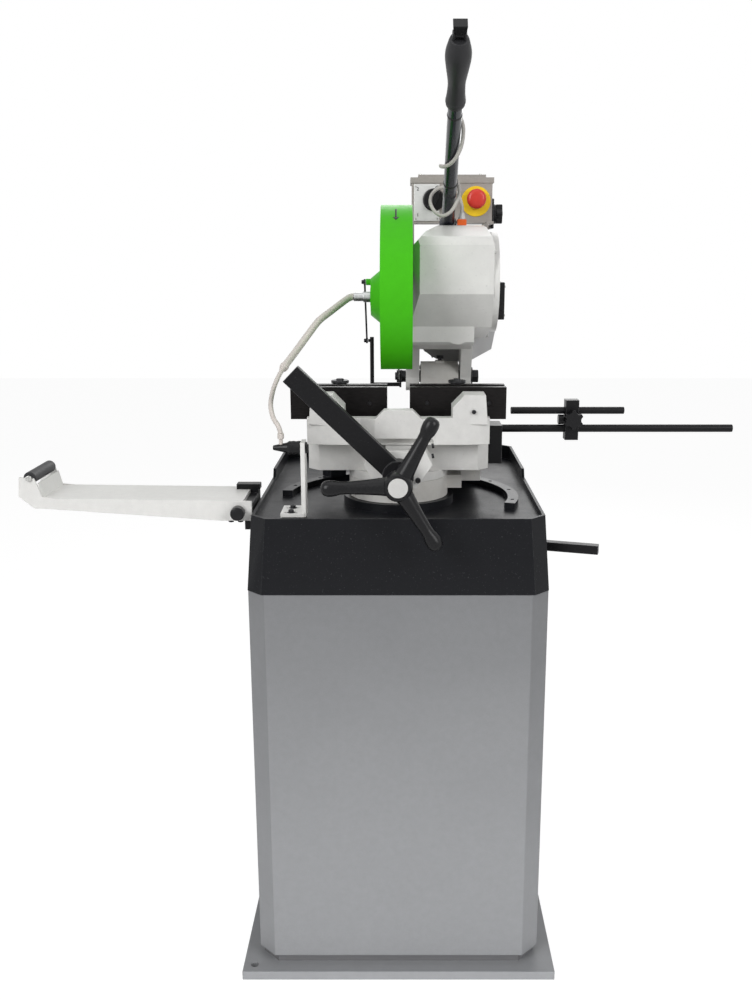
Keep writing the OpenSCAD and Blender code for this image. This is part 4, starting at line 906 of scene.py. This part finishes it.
class SAW_OT_tray(bpy.types.Operator):
    """Press the chip tray with its rim lightened by wear and painted highlight, the swivel track
    and the lock bar
    """
    bl_idname = "saw.tray"
    bl_label = "Chip tray and swivel track"

    def execute(self, context):
        eased("tray", "chip_tray", "tray", "base", sizes().sheet_edge * 0.9, 2)
        eased("swivel_track", "index_track", "track", "base", 0.0012, 2)
        eased("lock_lever", "lock_bar", "black_paint", "lock", 0.0012)
        return {"FINISHED"}


class SAW_OT_swivel(bpy.types.Operator):
    """Cast the swivel arm with its post, pivot pin, stop bolt and cranked rod"""
    bl_idname = "saw.swivel"
    bl_label = "Swivel arm and post"

    def execute(self, context):
        eased("swivel_arm", "swivel_casting", "post", "swivel",
              sizes().casting_edge, 3)
        low, high = corners("pivot_pin")
        ear, far_ear = (7.4, PIVOT_Y, PIVOT_Z), (148, PIVOT_Y, PIVOT_Z)
        parts = [turned(rod(12, 0, high.x - low.x - 30), ear, RIGHT, 40),
                 hex_head(ear, LEFT, 24, 12),
                 turned([(8, 0), (8, 14), (7, 15.4), (0, 15.4)], ear, LEFT, 32),
                 hex_head(far_ear, RIGHT, 24, 12, washer=18),
                 turned(rod(3.9, 0, 12), (83, PIVOT_Y, 1050.5), UP, 24),
                 hex_head((83, PIVOT_Y, 1062), UP, 14, 6)]
        finish(join(*parts), "pivot_bolts", "black_oxide", "swivel", "pivot_pin")
        eased("guard_rod", "cranked_rod", "black_paint", "swivel", 0.0006)
        return {"FINISHED"}


class SAW_OT_spring(bpy.types.Operator):
    """Wind the return spring between the swivel arm and the tail of the head"""
    bl_idname = "saw.spring"
    bl_label = "Return spring"

    def execute(self, context):
        low, high = corners("head_spring")
        wire = sizes().spring_wire / 2
        centre = (low + high) / 2
        reach = (high.x - low.x) / 2 - wire / MM
        bottom, top = low.z + wire / MM, high.z - wire / MM
        per_turn = 24
        steps = sizes().spring_turns * per_turn
        path = [mm(centre.x + reach * math.cos(math.tau * i / per_turn),
                   centre.y + reach * math.sin(math.tau * i / per_turn),
                   bottom + (top - bottom) * i / steps) for i in range(steps + 1)]
        coil = finish(hose_shape(path, wire, 10), "return_spring", "spring", None,
                      "head_spring", weigh=False)
        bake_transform(coil)
        return {"FINISHED"}


class SAW_OT_vice(bpy.types.Operator):
    """Cast the vice table, its nose and both jaw slides"""
    bl_idname = "saw.vice"
    bl_label = "Vice castings"

    def execute(self, context):
        edge = sizes().casting_edge
        eased("vice_body", "vice_table", "vice", "base", edge, 3)
        eased("front_carrier", "front_slide_casting", "vice", "front_slide", edge, 3,
              angle=20)
        eased("rear_carrier", "rear_slide_casting", "vice", "rear_slide", edge, 3)
        nose = [socket_screw((x, -248, z), FRONT, 4.5, 5) for x, z in ((33, 900), (-40, 897))]
        nose += [socket_screw((56, -232, z), (1, 0, 0.2), 4, 4) for z in (938, 955)]
        fasten("nose_screws", nose, "base")
        fasten("upright_screws", [socket_screw((x, -201, 1008), FRONT, 3.6, 3.4)
                                  for x in (128, -128)], "front_slide")
        return {"FINISHED"}


class SAW_OT_jaws(bpy.types.Operator):
    """Fit the blued jaws, their screws and the clamp knobs"""
    bl_idname = "saw.jaws"
    bl_label = "Jaws and clamp knobs"

    def execute(self, context):
        rows = ("front", "front_slide", -142), ("rear", "rear_slide", -105)
        for row, body, y in rows:
            eased(row + "_jaws", row + "_jaw_plates", "jaw", body, 0.0008)
        for row, body, y in rows:
            fasten(row + "_jaw_screws", [socket_screw((x, y, 1015), FRONT, 3.8, 3)
                                         for x in (-158, -50, 50, 158)], body)
        low, high = corners("jaw_knobs")
        y = (low.y + high.y) / 2
        knobs = []
        for x in (-105, 105):
            knobs.append(turned(rod(5, 0, 9), (x, y, low.z), UP, 24))
            knobs.append(turned([(0, 0), (15.2, 0), (16, 0.7), (16, 4.0), (15, 4.8), (7, 4.9),
                                 (6.8, 7), (6, 7.8), (0, 7.8)], (x, y, high.z - 8), UP, 40))
        finish(join(*knobs), "clamp_knobs", "black_oxide", "rear_slide", "jaw_knobs")
        return {"FINISHED"}


class SAW_OT_handwheel(bpy.types.Operator):
    """Make the three-spoke handwheel with its ball ends and pale cap"""
    bl_idname = "saw.handwheel"
    bl_label = "Vice handwheel"

    def execute(self, context):
        low, high = corners("handwheel")
        z = VICE_SCREW_Z
        back, front = high.y, low.y + 2
        wheel = [turned([(8.2, 0), (20, 0), (22.5, 1.5), (23.5, 5), (23.5, 24), (22.6, 30),
                         (20.4, 33), (17.2, 34), (16.6, 32.6), (0, 32.6)], (0, back, z), FRONT, 56)]
        spoke = [(0, 8), (14.6, 12), (15, 20), (13.4, 34), (11.4, 58), (10.0, 84), (10.4, 92),
                 (12.2, 98), (13, 104), (13.1, 109), (12.5, 113.5), (10.9, 117.4), (8.2, 120.2),
                 (4.6, 121.7), (0, 122)]
        for angle in (62, 182, 302):
            a = math.radians(angle)
            wheel.append(turned(spoke, (0, (back + front) / 2, z),
                                (math.cos(a), 0, math.sin(a)), 32))
        cap = tint(turned([(0, 0), (15.7, 0), (15.7, 1.6), (15.1, 2.2), (0, 2.4)],
                          (0, front + 1.6, z), FRONT, 48), 1)
        finish(join(*wheel, cap), "handwheel_casting", ["plastic", "cap"], "vice_wheel",
               "handwheel")
        return {"FINISHED"}


class SAW_OT_clamp_lever(bpy.types.Operator):
    """Make the flat clamp lever with its screwed boss"""
    bl_idname = "saw.clamp_lever"
    bl_label = "Clamp lever"

    def execute(self, context):
        eased("clamp_lever", "clamp_lever_bar", "black_paint", "quick_clamp", 0.0016)
        circle, face = 18.5, corners("clamp_lever")[0].y
        fasten("lever_screws", [
            socket_screw((circle * math.cos(a), face, VICE_SCREW_Z + circle * math.sin(a)),
                         FRONT, 3.2, 3.0) for a in map(math.radians, (20, 80, 200, 320))],
            "quick_clamp")
        return {"FINISHED"}


class SAW_OT_stops(bpy.types.Operator):
    """Make the length stop: bracket, rods, block and lobed knobs"""
    bl_idname = "saw.stops"
    bl_label = "Length stop"

    def execute(self, context):
        for node, name, look, body, slot, edge in (
                ("stop_bracket", "stop_bracket_block", "black_paint", "base", "black_steel", 2),
                ("stop_rod", "long_rod", "black_paint", "base", "black_steel", 1.4),
                ("stop_block", "sliding_block", "black_paint", "stop_slide", "black_steel", 2),
                ("stop_finger", "short_rod", "black_paint", "finger", "black_steel", 1.4),
                ("stop_knob", "lobed_knob", "plastic", "block_knob", "black_plastic", 1.6),
                ("stop_side_knob", "side_lobed_knob", "plastic", "side_knob", "black_plastic", 1)):
            eased(node, name, look, body, sizes().fine_edge * edge)
        return {"FINISHED"}


class SAW_OT_support_arm(bpy.types.Operator):
    """Fold the roller arm with its mount, knob and roller"""
    bl_idname = "saw.support_arm"
    bl_label = "Roller arm"

    def execute(self, context):
        eased("roller_arm", "roller_arm_sheet", "sheet", "base", 0.0011, 2)
        eased("arm_mount", "arm_mount_block", "black_paint", "base", 0.0014)
        low, high = corners("roller")
        c = (low + high) / 2
        r, long, bore = (high.z - low.z) / 2, high.y - low.y, 4.1
        finish(turned([(bore, 0), (r - 1.2, 0), (r, 1.4), (r, long - 1.4), (r - 1.2, long),
                       (bore, long), (bore, 0)], (c.x, low.y, c.z), BACK, 40),
               "roller_sleeve", "grip", "support_roller", "roller")
        low, high = corners("arm_knob")
        c = (low + high) / 2
        knob = turned([(0, 0), (9, 0), (11.4, 1.4), (12, 4), (12, 15), (10.5, 17.5), (8, 19.7),
                       (5, 19.7), (5, 42), (0, 42)], (c.x, low.y, c.z), BACK, 40)
        finish(knob, "arm_hand_screw", "plastic", "arm_screw", "arm_knob")
        fasten("roller_pin_nuts", [hex_head((-620, y, 901), way, 10, 3.0)
                                   for y, way in ((-240, FRONT), (-130, BACK))],
               "base", "zinc")
        ramp = outline([(-598, 862.6), (-605.6, 893), (-607.2, 892.6), (-600, 862.6)], 106,
                       (0, -132, 0), FRONT, UP)
        plate = block((-292.5, -240.7, 828.3), (-248, -240, 861.6), 0.3)
        finish(join(ramp, plate), "roller_arm_plates", "sheet", "base")
        fasten("arm_clamp_bolts", [hex_head((x, -228, 828.2), DOWN, 9, 5) for x in (-285, -269)],
               "base")
        return {"FINISHED"}


class SAW_OT_coolant_tap(bpy.types.Operator):
    """Make the tap on its bracket, where the hose ends"""
    bl_idname = "saw.coolant_tap"
    bl_label = "Coolant tap"

    def execute(self, context):
        foot_top = 846.02
        eased("tap_bracket", "tap_bracket_sheet", ["sheet", "black_cast"], "base",
              0.0008, paint_by=lambda face: int(face.calc_center_median().z / MM < foot_top))
        x, y, z = -155, -268, 959
        tap = [turned([(0, 0), (9.4, 0), (9.4, 2.2), (8.6, 2.8), (5, 2.8), (5, 3.2), (0, 3.2)],
                      (x + 3, y, z), RIGHT, 36),
               turned([(0, 0), (11, 0), (11.3, 4), (10.6, 8), (11.3, 12), (10.8, 16), (11.2, 19),
                       (9.6, 22), (0, 22)], (x - 4, y, z), LEFT, 36),
               turned([(9.4, 21.5), (8.6, 23), (4.0, 45), (3.2, 46), (0, 46)],
                      (x - 4, y, z), LEFT, 32)]
        pipe = tint(turned([(0, 3), (3.4, 3), (3.4, 14.6), (5.0, 15), (5.4, 15.6), (5.4, 23.4),
                            (4.8, 24), (0, 24)], (-192, y, z), UP, 32), 1)
        finish(join(*tap, pipe), "tap_body", ["plastic", "hose"], "base",
               "coolant_tap")
        screws = [join(socket_screw((x - 22, y + along, 852), UP, 4.6, 5),
                       turned(rod(6.5, 0, 0.9), (x - 22, y + along, 851.9), UP, 24))
                  for along in (-10, 22)]
        finish(join(*screws), "bracket_screws", "black_oxide", "base",
               "frame_screws")
        return {"FINISHED"}


class SAW_OT_guards(bpy.types.Operator):
    """Roll the two halves of the green blade guard with their link and arrow"""
    bl_idname = "saw.guards"
    bl_label = "Blade guards"

    def execute(self, context):
        def bare_hub(face):
            centre = face.calc_center_median() / MM
            across = math.hypot(centre.y - SPINDLE_Y, centre.z - SPINDLE_Z)
            return int(centre.x < -32 and across < 13)
        eased("fixed_guard", "upper_guard", ["guard", "steel"], "head", 0.0006,
              paint_by=bare_hub)
        eased("moving_guard", "front_guard", "guard", "guard", 0.0007)
        arrow = bmesh.new()

        def stripe(*edges):
            """One face of the arrow: pairs of distance across the rim and degrees up it"""
            arrow.faces.new([arrow.verts.new(mm(
                x - 4.5, SPINDLE_Y - RIM_RADIUS * math.cos(math.radians(up)),
                SPINDLE_Z + RIM_RADIUS * math.sin(math.radians(up)))) for x, up in edges])
        for up in range(58, 70):
            stripe((-1.5, up), (1.5, up), (1.5, up + 1), (-1.5, up + 1))
        stripe((0, 54.8), (6.2, 58.4), (1.5, 58.1), (-1.5, 58.1), (-6.2, 58.4))
        bmesh.ops.remove_doubles(arrow, verts=arrow.verts, dist=1e-6)
        mark = finish(arrow, "turn_arrow", "ink", "guard", weigh=False)
        film = mark.modifiers.new("Film", "SOLIDIFY")
        film.thickness, film.offset = 0.0002, 0.0
        along = Vector((0, -math.cos(LINK_ANGLE), math.sin(LINK_ANGLE)))
        link = [turned([(0, 4), (1.8, 4.5), (1.8, LINK_LENGTH - 4.5), (0, LINK_LENGTH - 4)],
                       LINK_FOOT, along, 16)]
        for end in (LINK_FOOT, LINK_FOOT + along * LINK_LENGTH):
            link.append(turned([(0, -6), (3.0, -6), (3.3, -5.4), (3.3, -2.2), (5.5, -1.9),
                                (5.5, 1.9), (0, 2)], end, RIGHT, 24))
            link.append(hex_head(end + Vector((-2, 0, 0)), LEFT, 7.4, 3.6))
        finish(join(*link), "link_rod", "black_oxide", "link", "guard_link")
        return {"FINISHED"}


class SAW_OT_blade(bpy.types.Operator):
    """Make the spindle and the bolt that holds the blade"""
    bl_idname = "saw.blade"
    bl_label = "Blade and spindle"

    def execute(self, context):
        eased("spindle", "spindle_shaft", "steel", "blade_set", 0.0005, 1)
        fasten("blade_bolt", [hex_head((-15, SPINDLE_Y, SPINDLE_Z), LEFT, 22, 2.5)], "blade_set")
        return {"FINISHED"}


class SAW_OT_gear_case(bpy.types.Operator):
    """Cast the gear case and its cover, with plugs, level glass and cable plug"""
    bl_idname = "saw.gear_case"
    bl_label = "Gear case"

    def execute(self, context):
        edge = sizes().casting_edge
        eased("gear_case", "gear_casting", "head", "head", edge * 1.6, 4, angle=14)
        eased("gear_cover", "gear_lid", "head", "head", edge * 1.1, 3, angle=20)
        fasten("cover_screws", [socket_screw((172.6, y, z), RIGHT, 4.2, 3.6) for y, z in (
            (-15, 1206), (-14, 1272), (196, 1276), (196, 1200), (196, 1122), (120, 1113),
            (20, 1146))], "head", "zinc")
        glass = (COVER_FACE, 35, 1210)
        fittings = {
            "plastic": turned([(0, 0), (8, 0), (8, 2), (6.6, 2.4), (6.6, 5), (0, 5)],
                              (COVER_FACE, 113, 1170), RIGHT, 6),
            "brass": turned([(6.2, 0), (9, 0), (9, 3.0), (8, 4), (6.6, 4), (6.2, 3)],
                            glass, RIGHT, 36),
            "oil": turned([(0, 1.6), (6.3, 1.6), (6.3, 2.4), (0, 2.8)], glass, RIGHT, 36),
            "orange": outline([(-9, -9), (9, -9), (9, 9), (-9, 9)], 11.6,
                              PLUG + Vector((0, 0, 0.2)), UP, BACK, width=1.4),
            "clear": turned([(0, 11), (6.8, 11), (7, 12), (6.6, 16), (5.2, 21), (4.6, 24),
                             (0, 24)], PLUG, UP, 28)}
        parts = [tint(part, index) for index, part in enumerate(fittings.values())]
        finish(join(*parts), "case_plugs", list(fittings), "head", "case_fittings")
        return {"FINISHED"}


class SAW_OT_motor(bpy.types.Operator):
    """Make the motor with its fins, terminal box and fan cover"""
    bl_idname = "saw.motor"
    bl_label = "Motor"

    def execute(self, context):
        eased("motor_housing", "motor_shell", "motor", "head", 0.0009)
        eased("terminal_box", "terminal_cover", "plastic", "head", 0.003, 3)
        eased("fan_cover", "fan_cowl", "plastic", "head", 0.0016)
        low, high = corners("terminal_box")
        screws = [socket_screw((high.x, y, z), RIGHT, 2.8, 2.0)
                  for y in (low.y + 9, high.y - 9) for z in (low.z + 9, high.z - 9)]
        bolts = [hex_head((110 + x, 219, 1130 + z), BACK, 10, 5, washer=8)
                 for x, z in ((-62, 38), (62, 45), (62, -52), (-52, -52))]
        fasten("motor_bolts", screws + bolts, "head", "zinc")
        return {"FINISHED"}


class SAW_OT_handle(bpy.types.Operator):
    """Make the handle tube, the moulded grip and the switch lever in its end"""
    bl_idname = "saw.handle"
    bl_label = "Handle"

    def execute(self, context):
        tube = turned([(0, -2), (16.2, -3.8), (17, -3), (17, 10.5), (15.5, 12), (12.5, 12.6),
                       (12.5, 435), (10, 435), (10, 0), (0, 0)], TUBE_FOOT, ALONG_TUBE)
        finish(tube, "handle_pipe", "tube", "head", "handle_tube")
        start = 311
        grip = turned([(radius, start + up) for radius, up in (
            (12.6, 0), (13.2, 0.2), (16.2, 5), (16.8, 10), (16.8, 16), (15.6, 26), (14.9, 36),
            (14.6, 48), (15.2, 56), (16.5, 66), (18.2, 77), (19.7, 88), (21, 98), (21.5, 106),
            (21.2, 114), (20, 121), (18.3, 128), (16.6, 135), (15, 139), (13.4, 140), (0, 140))],
            TUBE_FOOT, ALONG_TUBE)
        ribs = [turned([(16.6, up), (17.2, up + 0.7), (17.2, up + 1.6), (16.6, up + 2.3)],
                       TUBE_FOOT, ALONG_TUBE) for up in (start + 10, start + 13)]
        lugs = [settle(block((x, -6, 449.6), (x + 4.5, 6, 463), 1.6), TUBE_FOOT,
                       Matrix.Rotation(TUBE_LEAN, 4, "X")) for x in (-11.5, 7)]
        finish(join(grip, *ribs, *lugs), "hand_grip", "grip", "head",
               "handle_grip")
        eased("trigger", "switch_lever", "plastic", "switch", 0.0016, 3)
        return {"FINISHED"}


class SAW_OT_control_box(bpy.types.Operator):
    """Cast the control box with its dial plate, selector, stop button and isolator"""
    bl_idname = "saw.control_box"
    bl_label = "Control box"

    def execute(self, context):
        eased("control_box", "box_casting", "box", "head", 0.0030, 3)
        low, high = corners("control_box")
        plate_face = BOX_FRONT - 2
        plate = tint(block((30.5, plate_face, 1334), (82.5, BOX_FRONT, 1407), 0.8), 0)
        disc = tint(turned([(0, 0), (30, 0), (30, 1.4), (29.4, 2), (0, 2)],
                           (157, BOX_FRONT, 1373), FRONT, 64), 1)
        switch = tint(block((190.5, 278, 1320), (196.5, 334, 1380), 1.6), 2)
        finish(join(plate, disc, switch), "box_faces", ["dial", "yellow", "plastic"], "head",
               "box_plates")
        corner = [socket_screw((x, plate_face, z), FRONT, 2.0, 1.2)
                  for x in (34.5, 78.5) for z in (1338.5, 1402.5)]
        lid = [socket_screw((x, y, 1426), UP, 3.2, 2.2)
               for x in (low.x + 20, high.x - 27) for y in (270, 336)]
        fasten("box_screws", corner + lid, "head", "zinc")
        for text, x, z in (("2", 38.5, 1397), ("1", 38.5, 1346), ("0", 76, 1399)):
            digits(text, (x, plate_face - 0.06, z), sizes().digit_height, "dial_digit_" + text,
                   "head")
        dial = (71, plate_face, 1376)
        skirt = turned([(5.2, 0.3), (22.5, 0.3), (22.5, 3), (21.6, 5.2), (19.5, 8.3), (6, 8.6),
                        (0, 8.6)], dial, FRONT, 56)
        pointing = math.radians(24)
        wing = outline([(-6, -20), (6, -20), (7, -8), (7, 8), (4.5, 18), (0, 20.5), (-4.5, 18),
                        (-7, 8), (-7, -8)], 15, (dial[0], plate_face - 7.5, dial[2]), FRONT,
                       (math.sin(pointing), 0, math.cos(pointing)), width=1.8, segments=3)
        stem = turned(rod(5, -17, 0.5), dial, FRONT, 24)
        finish(join(skirt, wing, stem), "selector_grip", "plastic", "selector",
               "selector_knob")
        stop = (157, BOX_FRONT, 1377)
        button = turned([(0, -14), (11, -14), (11, 11.4), (14.5, 12.2), (19, 13.2), (19.5, 15),
                         (19.5, 22), (19, 24.2), (17.6, 26), (15.4, 27.6), (12, 28.6), (6, 29),
                         (0, 29)], stop, FRONT, 64)
        finish(button, "stop_mushroom", "red", "estop", "estop_button")
        collar = turned([(11.4, 2), (14.4, 2), (14.4, 4.2), (13.6, 5), (11.4, 5), (11.4, 2)],
                        stop, FRONT, 40)
        finish(collar, "stop_collar", "plastic", "head")
        knob = turned([(0, -14), (5, -14), (5, 0.2), (19.4, 0.3), (20, 1), (20, 4.8), (19, 5.6),
                       (0, 5.8)], (196.8, 306, 1350), RIGHT, 40)
        lobes = []
        for i in range(48):
            a = math.tau * i / 48
            r = 19.4 + 2.4 * math.cos(6 * a)
            lobes.append((r * math.cos(a), r * math.sin(a)))
        star = outline(lobes, 13, (202.2, 306, 1350), RIGHT, UP, width=1.2)
        finish(join(knob, star), "isolator_star", "plastic", "isolator",
               "isolator_knob")
        gland = turned([(0, 0), (9, 0), (9, 4), (7.8, 4.6), (7.8, 9), (5.4, 11.5), (0, 11.5)],
                       (184, 296, 1330), DOWN, 6)
        finish(gland, "cable_gland", "box", "head")
        return {"FINISHED"}


def seen_rays(tree):
    """1 for rays of the camera and rays that glossy or clear surfaces send on"""
    rays = tree.nodes.new("ShaderNodeLightPath").outputs
    through = math_node(tree, "MAXIMUM", rays["Is Glossy Ray"], rays["Is Transmission Ray"])
    return math_node(tree, "MAXIMUM", rays["Is Camera Ray"], through)


# Lamps: name, place, size, watts, height of the point aimed at, spread in degrees
LAMPS = (
    ("Left softbox", (-2.0, -2.5, 2.5), (1.6, 2.0), 66, 0.95, 180),
    ("Right softbox", (2.2, -2.3, 2.3), (1.4, 2.0), 49, 0.95, 180),
    ("Low grid", (0.1, -1.5, 0.15), (1.8, 0.3), 2.5, 0.1, 60),
    ("Top softbox", (0.0, -0.6, 3.5), (2.2, 2.2), 12, 0.95, 180),
    ("Rear softbox", (0.6, 2.6, 2.4), (1.8, 1.8), 26, 0.95, 180))
FLOOR_HALF = 9.0
# How strongly the floor glows for the camera, the share of that glow in its look, and the light
# that the air throws on the saw
FLOOR_GLOW, GLOW_SHARE = 1.14, 0.82
AIR_ON_OBJECT = 0.14
WHITE = (1, 1, 1, 1)


class SAW_OT_stage(bpy.types.Operator):
    """Set the pale floor and the soft studio light"""
    bl_idname = "saw.stage"
    bl_label = "Studio"

    def execute(self, context):
        scene = context.scene
        floor = bmesh.new()
        bmesh.ops.create_grid(floor, x_segments=1, y_segments=1, size=FLOOR_HALF)
        mesh = bpy.data.meshes.new("studio_floor")
        floor.to_mesh(mesh)
        floor.free()
        made = bpy.data.objects.new("studio_floor", mesh)
        scene.collection.objects.link(made)
        pale, tree, shader = fresh("Studio floor")
        connect(tree, shader, {"Base Color": (0.86, 0.86, 0.86, 1), "Roughness": 0.9}, {})
        glow = put(tree, "ShaderNodeEmission", {"Color": WHITE, "Strength": FLOOR_GLOW})
        mixed = put(tree, "ShaderNodeMixShader", {
            0: math_node(tree, "MULTIPLY", seen_rays(tree), GLOW_SHARE)})
        tree.links.new(shader.outputs[0], mixed.inputs[1])
        tree.links.new(glow.outputs[0], mixed.inputs[2])
        out = next(n for n in tree.nodes if n.type == "OUTPUT_MATERIAL")
        tree.links.new(mixed.outputs[0], out.inputs[0])
        mesh.materials.append(pale)
        world = bpy.data.worlds.new("Studio air")
        scene.world = world
        world.use_nodes = True
        tree = world.node_tree
        tree.nodes.clear()
        strength = math_node(tree, "ADD", AIR_ON_OBJECT, math_node(
            tree, "MULTIPLY", seen_rays(tree), 1.0 - AIR_ON_OBJECT))
        air = put(tree, "ShaderNodeBackground", {"Color": WHITE, "Strength": strength})
        out = tree.nodes.new("ShaderNodeOutputWorld")
        tree.links.new(air.outputs[0], out.inputs[0])
        for name, place, size, power, aim_height, spread in LAMPS:
            light = bpy.data.lights.new(name, "AREA")
            light.shape = "RECTANGLE"
            light.size, light.size_y = size
            light.energy = power
            light.spread = math.radians(spread)
            lamp = bpy.data.objects.new(name, light)
            lamp.location = place
            lamp.visible_camera = False
            aim = Vector((0, 0, aim_height)) - Vector(place)
            lamp.rotation_euler = aim.to_track_quat("-Z", "Y").to_euler()
            scene.collection.objects.link(lamp)
        return {"FINISHED"}


class SAW_PT_panel(bpy.types.Panel):
    """Lists the saw's pieces, sizes and colours in the sidebar"""
    bl_idname = "SAW_PT_panel"
    bl_label = "Metal cut-off saw"
    bl_space_type = "VIEW_3D"
    bl_region_type = "UI"
    bl_category = "Saw"

    def draw(self, context):
        layout = self.layout
        for title, group_name in (("Sizes", "saw_sizes"), ("Colours", "saw_colours")):
            box = layout.box()
            box.label(text=title)
            owner = getattr(context.scene, group_name)
            for key in owner.__annotations__:
                box.prop(owner, key)
        pieces = layout.column(align=True)
        for maker in MAKERS:
            pieces.operator(maker.bl_idname, text=maker.bl_label)


MAKERS = (
    SAW_OT_camera, SAW_OT_coolant_hose, SAW_OT_control_cable, SAW_OT_carried_parts, SAW_OT_cabinet,
    SAW_OT_tray, SAW_OT_swivel, SAW_OT_spring, SAW_OT_vice, SAW_OT_jaws, SAW_OT_handwheel,
    SAW_OT_clamp_lever, SAW_OT_stops, SAW_OT_support_arm, SAW_OT_coolant_tap, SAW_OT_guards,
    SAW_OT_blade, SAW_OT_gear_case, SAW_OT_motor, SAW_OT_handle, SAW_OT_control_box, SAW_OT_stage)
CLASSES = (SawSizes, SawColours) + MAKERS + (SAW_PT_panel,)


def register():
    for made in CLASSES:
        bpy.utils.register_class(made)
    bpy.types.Scene.saw_sizes = bpy.props.PointerProperty(type=SawSizes)
    bpy.types.Scene.saw_colours = bpy.props.PointerProperty(type=SawColours)


def unregister():
    del bpy.types.Scene.saw_sizes
    del bpy.types.Scene.saw_colours
    for made in reversed(CLASSES):
        bpy.utils.unregister_class(made)


def main():
    register()
    make_finishes(bpy.context.scene.saw_colours)
    for maker in MAKERS:
        family, name = maker.bl_idname.split(".")
        getattr(getattr(bpy.ops, family), name)()


if __name__ == "__main__":
    main()
